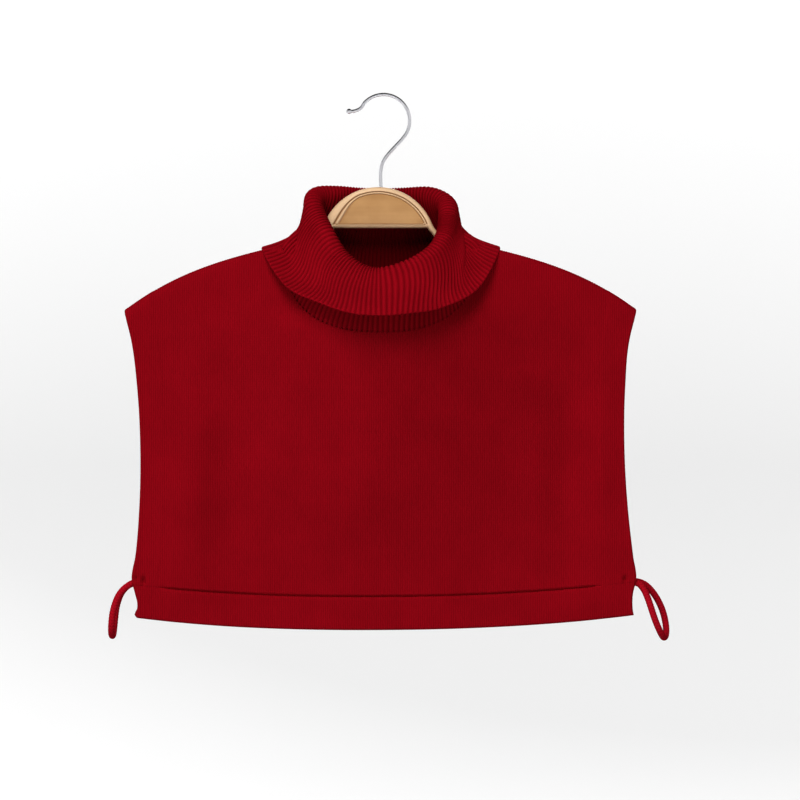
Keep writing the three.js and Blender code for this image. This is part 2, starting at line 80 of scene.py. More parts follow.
# Hem
HEM_LOW = -0.4365
HEM_RISE = 0.0105                # the ends of the hem are higher than its middle
HEM_CURVE = 2.3
HEM_TILT = 0.0055
HEM_HEIGHT = 0.0274
HEM_CLOTH = 0.0036               # two layers
HEM_PROUD = 0.0006
CREASE_FADE = {"middle": -0.001, "start": 0.170, "end": 0.183}   # how far out the crease shows
CREASE_DEPTH = 0.0020
CREASE_WIDTH = 0.0013            # on each side of it
BLUNT_EDGE = 0.0003              # rounding where one piece of knit is sewn to the next

# Side edges of the panels, from the shoulder tip down: height, left, right
SIDE_EDGES = np.array([
    [-0.176, -0.210, 0.209],
    [-0.200, -0.204, 0.203],
    [-0.240, -0.199, 0.1995],
    [-0.290, -0.1965, 0.199],
    [-0.340, -0.1975, 0.202],
    [-0.376, -0.2005, 0.206],
    [-0.396, -0.2035, 0.2085],
    [-0.407, -0.201, 0.206],
    [-0.416, -0.1990, 0.2055],
    [-0.4205, -0.1995, 0.2058],
    [-0.4236, -0.2014, 0.2064],
    [-0.4285, -0.1982, 0.2068],
    [-0.436, -0.1975, 0.207],
])

FOLD_EASE = 1.5                  # more keeps the ends of a fold flatter
# Soft upright folds: x, width, lift away from the hanger, top and bottom
FOLDS = {
    "front": [
        (-0.156, 0.019, 0.0055, -0.185, -0.445),
        (-0.120, 0.020, -0.0035, -0.200, -0.445),
        (-0.040, 0.030, 0.0022, -0.280, -0.400),
        (0.150, 0.016, -0.0040, -0.190, -0.435),
        (0.180, 0.014, 0.0024, -0.200, -0.420),
    ],
    "back": [
        (-0.090, 0.030, 0.003, -0.200, -0.420),
        (0.020, 0.034, -0.002, -0.220, -0.420),
        (0.110, 0.030, 0.003, -0.210, -0.420),
    ],
}
# Small dents where the side loops are tacked: x, height, half width, half height, depth
DENTS = [
    (-0.1938, -0.3968, 0.0015, 0.0032, 0.0030),
    (-0.2000, -0.3948, 0.0014, 0.0024, 0.0016),
    (0.1995, -0.3955, 0.0016, 0.0028, 0.0026),
]
# The armhole edges curl a little at the rim, and are turned in over a wider strip
EDGE_CURL = {"from_rim": 0.0019, "width": 0.0012, "swell": 0.00022}
FACING = {"width": 0.025, "step": 0.002, "swell": 0.0003}

# Grids of points on the cloth, close together where it turns
RIM_STEPS = np.array([0, 0.0001, 0.0004, 0.0009, 0.0017])   # in from a rounded edge
PANEL_COLUMNS = {"neck": 97, "shoulder": 34, "tip": 36}
TIP_START = 0.178                # from here out the columns are closer together
NECK_CROWDING = 0.65             # draws the columns towards the steep sides of the neck
# Rows of a panel: shares of its depth over the arm, the least fall of the first of them, and then
# shares of the way down to the hem
ARM_SHARES = np.concatenate([[0, 0.01, 0.03], np.linspace(0, 1, 13)[1:]])
ARM_STEPS = [0, 0.00012, 0.0003, 0.0006]
BODY_SHARES = np.concatenate([np.linspace(0, 0.93, 76, endpoint=False)[1:],
                              np.linspace(0.93, 1, 20, endpoint=False)])
HEM_ROWS = 8                     # between the rows near its two edges
HEM_STEP = 0.003                 # the furthest of those from its edge

# The collar
ROLL_RADIUS = 0.007
NECK_LAP = 0.0008                # the collar's foot laps this far over the panels' edge
NECK_PROUD = 0.0006
RIB_TIP = {"length": 0.0032, "width": 0.0022, "out": 0.0005}   # the end of a rib at the neck seam
RIB_TIP_LIES_TO = 6              # row of the grid that a rib's tip points to
RIB_COLUMNS = 8                  # columns of points on a rib
# Middle of the roll and free edge of the flap, a row for each sixteenth of a turn from the front
# round the right side
COLLAR_FOLD = np.array([
    [0, -0.036, -0.150], [0.024, -0.034, -0.143], [0.043, -0.028, -0.131], [0.052, -0.019, -0.117],
    [0.055, -0.008, -0.100], [0.053, 0.006, -0.088], [0.040, 0.017, -0.081], [0.020, 0.024, -0.081],
    [0, 0.026, -0.0815], [-0.019, 0.024, -0.081], [-0.038, 0.018, -0.080], [-0.053, 0.008, -0.082],
    [-0.055, -0.007, -0.092], [-0.048, -0.017, -0.109], [-0.035, -0.028, -0.132],
    [-0.018, -0.034, -0.146],
])
COLLAR_EDGE = np.array([
    [0.001, -0.066, -0.182], [0.025, -0.063, -0.180], [0.050, -0.053, -0.175], [0.079, -0.034, -0.159],
    [0.0975, -0.006, -0.126], [0.088, 0.016, -0.1305], [0.068, 0.027, -0.136], [0.037, 0.034, -0.138],
    [0, 0.036, -0.139], [-0.037, 0.034, -0.138], [-0.068, 0.027, -0.136], [-0.088, 0.016, -0.1305],
    [-0.0975, -0.006, -0.126], [-0.077, -0.034, -0.157], [-0.047, -0.053, -0.172],
    [-0.023, -0.063, -0.180],
])
RING_READINGS = 2001             # points at which a ring of the collar is measured
ROLL_STEP = 0.01                 # turn over which the roll's direction is read
TUBE_TENSION = 0.034
# Rows of the collar's grid: shares of its tube, angles over the roll and shares of its flap
TUBE_ROWS = np.concatenate([[0, 0.002, 0.008, 0.02], np.linspace(0.04, 1, 10, endpoint=False)])
ROLL_ROWS = np.radians(np.linspace(-90, 90, 13))
FLAP_ROWS = np.concatenate([np.linspace(0, 0.95, 18)[1:], [0.965, 0.982, 0.992, 0.998, 1]])
ROLL_SHARE = 0.2                 # the roll's part of the way from the seam to the flap
# The neck side of the collar's tube is painted in shade, which fades out towards the flap
PAINTED_SHADE_REACH = 1.4                # more keeps the deep shade of the neck side nearer to the flap
# Shape of the flap's fall in front and behind, and at its left and right sides
FALL = {"steep": (1.6, 4.0, 4.0), "start": (0.038, 0.075, 0.068), "end": (0.038, 0.092, 0.060),
        "flare": (-0.3, 2.0, 1.2)}
# How the ribs lean on the flap: the turn where a rib ends, and the turn where it leaves the roll
RIB_ENDS = [-0.5, -0.30, -0.25, -0.203, -0.153, -0.07, 0, 0.07, 0.128, 0.175, 0.25, 0.30, 0.5]
RIB_STARTS = [-0.5, -0.30, -0.25, -0.1875, -0.125, -0.055, 0, 0.07, 0.125, 0.1875, 0.25, 0.30, 0.5]
# Creases of the flap: path as turn and share of the flap, then a ridge on the path's inner side
# and a drop to its outer side that fades over the tail
CREASES = [
    {"path": [(0.339, -0.1), (0.264, 0.15), (0.222, 0.3), (0.186, 0.5), (0.158, 0.95)],
     "side": 1, "depth": 0.0022, "width": 0.0100, "tail": 0.016, "lift": 0.0008, "fade": 0.98},
    {"path": [(-0.278, -0.05), (-0.250, 0.1), (-0.228, 0.25), (-0.217, 0.5), (-0.206, 0.75),
              (-0.2, 0.95)],
     "side": -1, "depth": 0.0022, "width": 0.0090, "tail": 0.014, "lift": 0.0008, "fade": 0.95},
]
CREASE_EASE = {"start": 0.15, "end": 0.45}   # shares of the flap on which a crease grows and ends

# Routes of the two side loops, from the front panel's edge round to the back panel's
LEFT_LOOP = [
    (-0.190, -0.0041, -0.3981), (-0.1955, -0.0041, -0.3981), (-0.201, -0.0042, -0.3985),
    (-0.206, -0.0051, -0.4004), (-0.2106, -0.007, -0.4039), (-0.2143, -0.0094, -0.409),
    (-0.2168, -0.0113, -0.4152), (-0.2185, -0.0124, -0.422), (-0.2194, -0.0126, -0.429),
    (-0.2199, -0.0111, -0.4355), (-0.2201, -0.007, -0.4402), (-0.2201, 0, -0.4422),
    (-0.2201, 0.007, -0.4402), (-0.2199, 0.0111, -0.4354), (-0.2194, 0.0126, -0.4288),
    (-0.2185, 0.0124, -0.4216), (-0.2168, 0.0113, -0.4148), (-0.2143, 0.0094, -0.4088),
    (-0.2105, 0.007, -0.4038), (-0.206, 0.0051, -0.4004), (-0.201, 0.0042, -0.3985),
    (-0.1955, 0.0041, -0.3981), (-0.190, 0.0041, -0.3981),
]
RIGHT_LOOP = [
    (0.195, -0.004, -0.3978), (0.2005, -0.004, -0.3978), (0.2062, -0.0041, -0.398),
    (0.2112, -0.0047, -0.3995), (0.215, -0.0064, -0.404), (0.2176, -0.0086, -0.4098),
    (0.2198, -0.0107, -0.4164), (0.2219, -0.0122, -0.4232), (0.2242, -0.0126, -0.4298),
    (0.2269, -0.0113, -0.436), (0.2296, -0.0074, -0.441), (0.232, -0.0012, -0.4435),
    (0.234, 0.0054, -0.4423), (0.2349, 0.0104, -0.4378), (0.2343, 0.0126, -0.4312),
    (0.2326, 0.0126, -0.4242), (0.2299, 0.0116, -0.4174), (0.2262, 0.0099, -0.4108),
    (0.2216, 0.0079, -0.4048), (0.2162, 0.0059, -0.4002), (0.2102, 0.0046, -0.3981),
    (0.2036, 0.0041, -0.3978), (0.197, 0.004, -0.3978),
]
LOOP_STEP = 0.0006
LOOP_SIDES = 30
LOOP_COLUMNS = 5                 # columns of stitches round the cord
RIDGE_POWER = {"rib": 0.85, "cord": 0.7}   # less makes a ridge rounder and its valley sharper
CURVE_STEPS = 24                 # points on each span of a smooth line before it is spaced out
ASKEW = (0.3, 1, 0.2)            # a direction that no tube starts along

# Hanger
ARM_THICKNESS = 0.012
ARM_HALF_LENGTH = 0.198
ARM_DEPTH = {"root": 0.027, "tip": 0.017}
ARM_TIP_ROUND = 0.009
ARM_BELOW_CLOTH = 0.0033
ARM_NECK_DIP = {"depth": 0.0034, "width": 0.012}
DOME = {"x": -0.0023, "height": -0.1222, "radius": 0.0476, "reach": 0.0444}
DOME_FOOT = {"beyond": 0.005, "height": -0.117}
UNDERSIDE = {"height": -0.108, "half_width": 0.038}
UNDERSIDE_BEND = {"beyond": 0.012, "height": -0.124}
# Points on each stretch of the bar's outline
OUTLINE_STEPS = {"end": 20, "arm": 80, "foot": 50, "dome": 240, "bend": 60, "underside": 120}
# Section of the bar's rim: distance in from the outline, and depth below the face
RIM_SECTION = [
    (0.0, 0.0034), (0.0002, 0.0024), (0.0007, 0.0014), (0.0015, 0.0007), (0.0025, 0.0003),
    (0.0032, 0.0001), (0.0036, 0.0004), (0.0038, 0.0010), (0.0040, 0.0013), (0.0042, 0.0010),
    (0.0044, 0.0003), (0.0049, 0.0), (0.0054, 0.0003), (0.0056, 0.0008), (0.0058, 0.0009),
    (0.0060, 0.0007), (0.0064, 0.0005), (0.0075, 0.0005),
]
# How many times its section the rim is wide, and what the dome's two sides add to 1
RIM_WIDTHS = {"arms": 0.75, "underside": 0.5, "left": 0.9, "right": 0.0}
RIM_WIDENS = {"from": 0.35, "over": 0.7}   # angle from the dome's top in radians
RIM_SMOOTHING = 8                # passes that blend the widths from point to point
# A point is on the dome or on the level underside when it is this near and faces up this much
ON_THE_LINE = {"dome": 1e-6, "underside": 0.0001, "upward": 0.9}
FACING_POINTS = 0.2              # a point faces another if it lies this much towards it
# Rings of points on the bar's faces, as shares of the way to their middle line
SECTION_ENDS = (0.84, 0.92)
FACE_END = 0.98
FACE_SHARES = (0.2, 0.4, 0.6, 0.8, 1)
# The section's grooves on each side of its bead, by their place, and how dark the painted shade in
# each is
GROOVES = {0.0040: 1.0, 0.0058: 0.8}
GROOVE_WIDTH = 0.0004
BEAD_END = 0.0056
# The dome's faces stand up in a low crown, over an oval inside the bead
CROWN = {"x": -0.0023, "height": -0.0935, "half_width": 0.038, "half_height": 0.0175,
         "rise": 0.0009}

# Hook
HOOK_RADIUS = 0.0214             # to the middle of the wire
HOOK_X = 0.0021
HOOK_START = -40                 # degrees, where the stem's bend joins the round
HOOK_END = 152
HOOK_STEP = 16
HOOK_TIP = {"x": -0.0262, "height": -0.0124, "radius": 0.0023}
TIP_LEAD = {"x": 0.004, "height": 0.0002}
STEM_FOOT = -0.092
STEM_TOP = -0.060
STEM_BEND = {"x": 0.0026, "height": -0.052}
HOOK_SPACING = 0.0008            # between the rings of points along the wire
HOOK_SIDES = 24
BALL_ROWS = np.radians(np.linspace(-50, 86, 18))   # its rings, from the wire to the far end

# Sizes of the finishes' patterns, in millimetres. Real fibre, 0.02 across, and the pores of the
# wood, 0.2 across, are too fine to show, so these are as coarse as they need to be.
PER_METRE = 1000
DYE_PATCHES = 35.7               # slightly uneven dye
LOOSE_FIBRE = 1.11
YARN_FIBRE = 0.714
WOOD_GRAIN = (104, 15.6, 6.94)   # streaks along the bar, through it and up its face
WOOD_PATCHES = 16.7
HANDLING_HAZE = 8.33
# How much patches of dye and painted shade between stitches sway the knit's colour and loose
# fibre sways its bump, how much grain and patches sway the wood's colour from a base, and the
# bumps' heights
KNIT_SWAY = {"patches": 0.5, "stitches": 0.55, "fibre": 0.5}
WOOD_SWAY = {"grain": 1.6, "patches": 1.4, "base": -1.0}
BUMPS = {"panel": 0.0003, "rib": 0.0002, "cord": 0.0002, "yarn": 0.0001, "wood": 0.0002}
ROW_RELIEF = 0.4                 # share of a stitch's height that is lost between two rows

# Stage: a floor with a round backdrop, its rows of points as shares of the radius and as angles
# of the bend between the two
FLOOR = {"height": -1.6, "radius": 4.2, "bend": 1.2, "top": 3.4}
FLOOR_ROWS = np.linspace(0.1, 0.7, 6)
BEND_ROWS = np.linspace(0.05, np.pi / 2, 16)
FLOOR_TURNS = 96
GARMENT_MIDDLE = (0, 0, -0.25)
# Lamps: name, place, the point that it faces, its side in metres and its power in watts
LAMPS = [
    ("Key", (-0.6, -2.3, 2.6), GARMENT_MIDDLE, 2.0, 114),
    ("Fill from below", (0.2, -2.0, -1.2), GARMENT_MIDDLE, 1.6, 33),
    ("Rake", (-2.8, -0.9, -0.2), GARMENT_MIDDLE, 0.8, 20),
    ("Behind", (0.6, 2.6, 1.3), GARMENT_MIDDLE, 1.2, 105),
    ("Back left", (-1.6, 1.6, 1.6), (-1.0, 4.2, -0.2), 1.6, 46),
    ("Back right", (1.6, 1.6, 1.6), (1.0, 4.2, -0.2), 1.6, 41),
    ("Front left", (-1.6, -1.6, 1.6), (-1.0, -4.2, -0.2), 1.6, 30),
    ("Front right", (1.6, -1.6, 1.6), (1.0, -4.2, -0.2), 1.6, 30),
    ("Far left", (-1.6, 0, 1.6), (-4.2, 0, 0.2), 1.6, 28),
    ("Far right", (1.6, 0, 1.6), (4.2, 0, 0.2), 1.6, 28),
]
SKY_STRENGTH = 0.05

MATH = "ShaderNodeMath"


def linear(code):
    """Linear red, green and blue of an sRGB hex colour."""
    channels = (int(code[k:k + 2], 16) / 255 for k in (0, 2, 4))
    return tuple(c / 12.92 if c <= 0.04045 else ((c + 0.055) / 1.055) ** 2.4 for c in channels)


def color_property(name, description, code):
    return FloatVectorProperty(name=name, description=description, subtype="COLOR", size=3,
                               min=0, max=1, default=linear(code))


def length_property(name, description, default):
    return FloatProperty(name=name, description=description, default=default, min=0,
                         unit="LENGTH", precision=5)


class PanelSettings(bpy.types.PropertyGroup):
    """Sizes and colours of the fine knitted panels."""

    cloth: length_property("Cloth", "Thickness of the fine knit", 0.002)
    wale: length_property("Wale", "Width of one column of stitches", 0.0018)
    course: length_property("Course", "Height of one row of stitches", 0.0014)
    color: color_property("Colour", "Yarn in the light", "8f0d1c")
    # painted shade: the colour between the stitches, also the dark end of the dye's patches
    shade: color_property("Shade", "Yarn between the stitches", "6c0611")


class CollarSettings(bpy.types.PropertyGroup):
    """Sizes and colours of the ribbed collar."""

    cloth: length_property("Cloth", "Thickness of the rib knit", 0.0026)
    ribs: IntProperty(name="Ribs", description="Number of ribs round the collar", default=120, min=20)
    rib_height: length_property("Rib height", "Height of a rib above its valley", 0.0011)
    stitch: length_property("Stitch", "Height of one row of stitches", 0.0017)
    color: color_property("Colour", "Yarn on the ribs", "940e1e")
    # painted shade in the rib valleys and on the neck side, also the dark end of the dye's patches
    shade: color_property("Shade", "Yarn in the valleys", "5c040d")


class LoopSettings(bpy.types.PropertyGroup):
    """Sizes and colours of the side loops' knitted cord."""

    diameter: length_property("Diameter", "Diameter of the knitted cord", 0.0055)
    stitch: length_property("Stitch", "Height of one row of stitches", 0.0024)
    relief: length_property("Relief", "Depth between the stitches", 0.00035)
    color: color_property("Colour", "Yarn of the cord", "a61729")
    # painted shade between the cord's stitches, also the dark end of the dye's patches
    shade: color_property("Shade", "Yarn between the stitches", "7a0511")


class HangerSettings(bpy.types.PropertyGroup):
    """Sizes and colours of the hanger."""

    wire: length_property("Wire radius", "Radius of the hook's wire", 0.00145)
    wood: color_property("Wood", "Light wood", "b38b5d")
    grain: color_property("Grain", "Darker lines of the wood", "a0774a")
    # painted highlight where the rounded rim catches the light
    rim: color_property("Rim", "Pale sanded rim of the bar", "d4b38f")
    # painted shade in the routed groove
    groove: color_property("Groove", "Lacquer gathered in the groove", "7c5228")
    chrome: color_property("Chrome", "Plating of the hook", "ccccd0")


class StageSettings(bpy.types.PropertyGroup):
    """Place of the camera, and colour of the floor."""

    camera_x: length_property("Camera across", "Place of the camera across the front", 0.0156)
    distance: length_property("Camera distance", "From the hanger's middle to the camera", 2.2)
    camera_drop: length_property("Camera drop", "From the hook's crown down to the camera", 0.249)
    view_width: length_property("View width", "Width that the picture shows at the hanger", 0.656)
    floor: color_property("Floor", "Pale floor and backdrop", "f6f6f6")


def mix(low, high, share):
    return low + (high - low) * share


def smooth(value):
    t = np.clip(value, 0, 1)
    return t * t * (3 - 2 * t)


def bell(value):
    return np.exp(-value ** 2)


def hermite(start, start_slope, end, end_slope, t):
    """Cubic curve between two values with given slopes."""
    t2 = t * t
    t3 = t2 * t
    return (start * (2 * t3 - 3 * t2 + 1) + start_slope * (t3 - 2 * t2 + t)
            + end * (3 * t2 - 2 * t3) + end_slope * (t3 - t2))


def unit(vectors):
    return vectors / np.maximum(np.linalg.norm(vectors, axis=-1, keepdims=True), 1e-12)


def spaced(start, end, count):
    """Evenly spaced values without the last one."""
    return np.linspace(start, end, count, endpoint=False)


def run_length(points):
    """Length along a line of points, or down each column of a grid, from its first point."""
    steps = np.linalg.norm(np.diff(points, axis=0), axis=-1)
    return np.concatenate([np.zeros_like(steps[:1]), np.cumsum(steps, axis=0)])


def rim_share(distance, radius):
    """Share of the full thickness at a distance from a rounded rim."""
    t = 1 - np.clip(distance / radius, 0, 1)
    return np.sqrt(1 - t * t)


def side_edge(column, height):
    """Smooth reading of the side edge table, whose heights fall from row to row."""
    heights = -SIDE_EDGES[:, 0]
    values = SIDE_EDGES[:, column]
    slopes = np.gradient(values, heights)
    place = np.clip(-height, heights[0], heights[-1])
    i = np.clip(np.searchsorted(heights, place, side="right") - 1, 0, len(heights) - 2)
    span = heights[i + 1] - heights[i]
    return hermite(values[i], slopes[i] * span, values[i + 1], slopes[i + 1] * span,
                   (place - heights[i]) / span)


def shoulder_height(x):
    """Height of the shoulder seam, level across the neck."""
    t = np.maximum(np.abs(x) - NECK_HALF_WIDTH, 0) / (SHOULDER_HALF_WIDTH - NECK_HALF_WIDTH)
    return NECK_POINT_HEIGHT - SHOULDER_SLOPE * t - SHOULDER_ROUND * t ** 3


def neck_power(value):
    """Sine or cosine of a turn, drawn out to the neck's rounded corners."""
    return np.sign(value) * np.abs(value) ** (2 / NECK_ROUNDNESS)


def panel_top(x, face):
    """Top edge of a panel: the neck seam, then the shoulder seam."""
    t = np.minimum(np.abs(x) / NECK_HALF_WIDTH, 1)
    drop = NECK_DROP[face] * (1 - t ** NECK_ROUNDNESS) ** (1 / NECK_ROUNDNESS)
    return np.where(np.abs(x) < NECK_HALF_WIDTH, NECK_POINT_HEIGHT - drop, shoulder_height(x))


def hem_height(x):
    return HEM_LOW + HEM_RISE * (np.abs(x) / SHOULDER_HALF_WIDTH) ** HEM_CURVE + HEM_TILT * x


def column_x(nominal, height):
    """A column keeps to the upright, and the outer ones follow the side edge."""
    edge = np.where(nominal < 0, -side_edge(1, height), side_edge(2, height))
    pull = (edge - SHOULDER_HALF_WIDTH) * (np.abs(nominal) / SHOULDER_HALF_WIDTH) ** 3
    return nominal + np.sign(nominal) * pull


def over_arm(below):
    """Cloth turning over the hanger's arm, as a depth below the shoulder seam."""
    t = np.clip(below / OVER_ARM_FALL, 0, 1)
    return OVER_ARM_DEPTH * (1 - (1 - t) ** OVER_ARM_ROUNDNESS) ** (1 / OVER_ARM_ROUNDNESS)


def fold_lift(face, x, height):
    total = np.zeros_like(x)
    for middle, width, lift, top, bottom in FOLDS[face]:
        along = np.clip((top - height) / (top - bottom), 0, 1)
        rise = np.maximum(np.sin(np.pi * along), 0) ** FOLD_EASE
        total = total + lift * rise * bell((x - middle) / width)
    return total


def cloth_depth(face, x, height):
    """Distance of a panel's outer face from the hanger's middle plane."""
    stand = STAND_OFF[face]
    down = smooth((STAND_OFF_TOP - height) / (STAND_OFF_TOP - HEM_LOW))
    risen = smooth((NECK_POINT_HEIGHT - height) / stand["rise"])
    kept = mix(1, stand["kept"], down)
    away = stand["depth"] * risen * bell(x / stand["width"]) * kept
    below = shoulder_height(x) - height
    return SEAM_GAP / 2 + over_arm(below) + away + fold_lift(face, x, height)


def side_of(face):
    return -1 if face == "front" else 1


def cloth_normal(face, x, height):
    step = 0.0001
    across = cloth_depth(face, x + step, height) - cloth_depth(face, x - step, height)
    upward = cloth_depth(face, x, height + step) - cloth_depth(face, x, height - step)
    outward = np.full_like(across, side_of(face))
    return unit(np.stack([-across / (2 * step), outward, -upward / (2 * step)], axis=-1))


def quads(ids):
    corners = [ids[:-1, :-1], ids[1:, :-1], ids[1:, 1:], ids[:-1, 1:]]
    return np.stack(corners, axis=-1).reshape(-1, 4)


def ringed(ids):
    """Grid of ids with its first column repeated as its last."""
    return np.concatenate([ids, ids[:, :1]], axis=1)


def shell(middle, normal, half, ring=False):
    """Points and quads of a closed wall about a grid of middle points, and which grid points are
    on its rims. There half is 0, and the wall's two faces share their points."""
    rows, columns = half.shape
    outer_ids = np.arange(rows * columns).reshape(rows, columns)
    rim = np.zeros((rows, columns), bool)
    rim[[0, -1], :] = True
    if not ring:
        rim[:, [0, -1]] = True
    inner_ids = outer_ids.copy()
    inner_ids[~rim] = rows * columns + np.arange((~rim).sum())
    outer = middle + normal * half[..., None]
    inner = middle - normal * half[..., None]
    points = np.concatenate([outer.reshape(-1, 3), inner[~rim]])
    if ring:
        outer_ids, inner_ids = ringed(outer_ids), ringed(inner_ids)
    return points, np.concatenate([quads(outer_ids), quads(inner_ids)[:, ::-1]]), rim


def new_piece(name, points, faces, material, caps=(), uv=None, attributes=None):
    """A smooth-shaded mesh object at the origin, with its quads and caps pointing out."""
    points = np.asarray(points, float)
    a, b, c, d = (points[faces[:, k]] for k in range(4))
    volume = (a * np.cross(b, c)).sum() + (a * np.cross(c, d)).sum()
    for cap in caps:
        ring = points[cap]
        volume += (ring[0] * np.cross(ring[1:-1], ring[2:])).sum()
    step = -1 if volume < 0 else 1
    mesh = bpy.data.meshes.new(name)
    polygons = faces[:, ::step].tolist() + [list(cap)[::step] for cap in caps]
    mesh.from_pydata(points.tolist(), [], polygons)
    mesh.materials.append(material)
    if uv is not None:
        corners = uv[:, ::step].astype(np.float32)
        mesh.uv_layers.new(name="Knit").data.foreach_set("uv", corners.ravel())
    for key, values in (attributes or {}).items():
        values = np.asarray(values, np.float32)
        kind, field = ("FLOAT", "value") if values.ndim == 1 else ("FLOAT_VECTOR", "vector")
        mesh.attributes.new(key, kind, "POINT").data.foreach_set(field, values.ravel())
    mesh.shade_smooth()
    piece = bpy.data.objects.new(name, mesh)
    bpy.context.scene.collection.objects.link(piece)
    return piece


def place_piece(piece, slot, *nodes):
    """The piece rides on the one body and stands for the CAD nodes; the slot is not used."""
    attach(piece, BODY)
    if nodes:
        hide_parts(*nodes)


def set_inputs(tree, node, inputs):
    """Sets or links inputs of a node, in order or by name. One that is given a node is linked from
    its first output."""
    for socket, value in inputs.items() if isinstance(inputs, dict) else enumerate(inputs):
        if isinstance(value, bpy.types.Node):
            value = value.outputs[0]
        if isinstance(value, bpy.types.NodeSocket):
            tree.links.new(value, node.inputs[socket])
        else:
            node.inputs[socket].default_value = value


def add_node(tree, kind, inputs=(), **settings):
    """A new node with its settings and its inputs."""
    node = tree.nodes.new(kind)
    for name, value in settings.items():
        setattr(node, name, value)
    set_inputs(tree, node, inputs)
    return node


def geometry_tree(name, **inputs):
    """An empty Geometry Nodes tree with a geometry input and the named ones."""
    tree = bpy.data.node_groups.new(name, "GeometryNodeTree")
    tree.interface.new_socket("Geometry", in_out="INPUT", socket_type="NodeSocketGeometry")
    for key, kind in inputs.items():
        tree.interface.new_socket(key, in_out="INPUT", socket_type=f"NodeSocket{kind}")
    tree.interface.new_socket("Geometry", in_out="OUTPUT", socket_type="NodeSocketGeometry")
    return tree, add_node(tree, "NodeGroupInput").outputs


def close_tree(tree, geometry, material):
    """Ends a tree with its instances made real and one material on them all."""
    real = add_node(tree, "GeometryNodeRealizeInstances", {"Geometry": geometry})
    finished = add_node(tree, "GeometryNodeSetMaterial", {"Geometry": real, "Material": material})
    add_node(tree, "NodeGroupOutput", {"Geometry": finished})
    return tree


def ridges(tree, phase):
    """Height that is 0 at each whole number of the phase and 1 half-way between them."""
    for operation, *values in (("MULTIPLY", math.pi), ("SINE",), ("ABSOLUTE",)):
        phase = add_node(tree, MATH, [phase, *values], operation=operation)
    return phase


def relief_tree():
    """Presses valleys into a knitted surface, one for each whole number of its phase."""
    tree, given = geometry_tree("Knit relief", Height="Float", Sharpness="Float",
                                Material="Material")
    phase = add_node(tree, "GeometryNodeInputNamedAttribute", {"Name": "phase"})
    share = add_node(tree, "GeometryNodeInputNamedAttribute", {"Name": "share"})
    depth = ridges(tree, phase)
    for operation, value in (("POWER", given["Sharpness"]), ("SUBTRACT", 1.0), ("MULTIPLY", share),
                             ("MULTIPLY", given["Height"])):
        depth = add_node(tree, MATH, [depth, value], operation=operation)
    normal = add_node(tree, "GeometryNodeInputNormal")
    offset = add_node(tree, "ShaderNodeVectorMath", {0: normal, "Scale": depth}, operation="SCALE")
    moved = add_node(tree, "GeometryNodeSetPosition",
                     {"Geometry": given["Geometry"], "Offset": offset})
    return close_tree(tree, moved, given["Material"])


def stitch_tree():
    """Sets a small stitch on each point, lying along the point's own direction."""
    tree, given = geometry_tree("Stitches", Length="Float", Width="Float", Material="Material")
    size = add_node(tree, "ShaderNodeCombineXYZ", [given["Width"], given["Width"], given["Length"]])
    bead = add_node(tree, "GeometryNodeMeshUVSphere", {"Segments": 8, "Rings": 6, "Radius": 0.5})
    along = add_node(tree, "GeometryNodeInputNamedAttribute", {"Name": "along"},
                     data_type="FLOAT_VECTOR")
    turned = add_node(tree, "FunctionNodeAlignRotationToVector", {"Vector": along}, axis="Z")
    placed = add_node(tree, "GeometryNodeInstanceOnPoints",
                      {"Points": given["Geometry"], "Instance": bead, "Rotation": turned,
                       "Scale": size})
    return close_tree(tree, placed, given["Material"])


def apply_tree(piece, tree, **values):
    """Turns the piece into the plain mesh that the node tree makes of it."""
    modifier = piece.modifiers.new(tree.name, "NODES")
    modifier.node_group = tree
    for item in tree.interface.items_tree:
        if item.in_out == "INPUT" and item.name in values:
            modifier[item.identifier] = values[item.name]
    graph = bpy.context.evaluated_depsgraph_get()
    made = bpy.data.meshes.new_from_object(piece.evaluated_get(graph),
                                           preserve_all_data_layers=True, depsgraph=graph)
    piece.modifiers.remove(modifier)
    piece.data = made
    made.shade_smooth()


def stitched(name, points, along, material, size):
    """A row of small stitches, one on each point."""
    piece = new_piece(name, points, np.zeros((0, 4), int), material,
                      attributes={"along": along})
    apply_tree(piece, stitch_tree(), Length=size["length"], Width=size["width"],
               Material=material)
    return piece


def surface_material(name, inputs):
    """A material with these inputs to its Principled shader, and the tree to build on."""
    material = bpy.data.materials.new(name)
    material.use_nodes = True
    tree = material.node_tree
    shader = tree.nodes["Principled BSDF"]
    set_inputs(tree, shader, inputs)
    return material, tree, shader


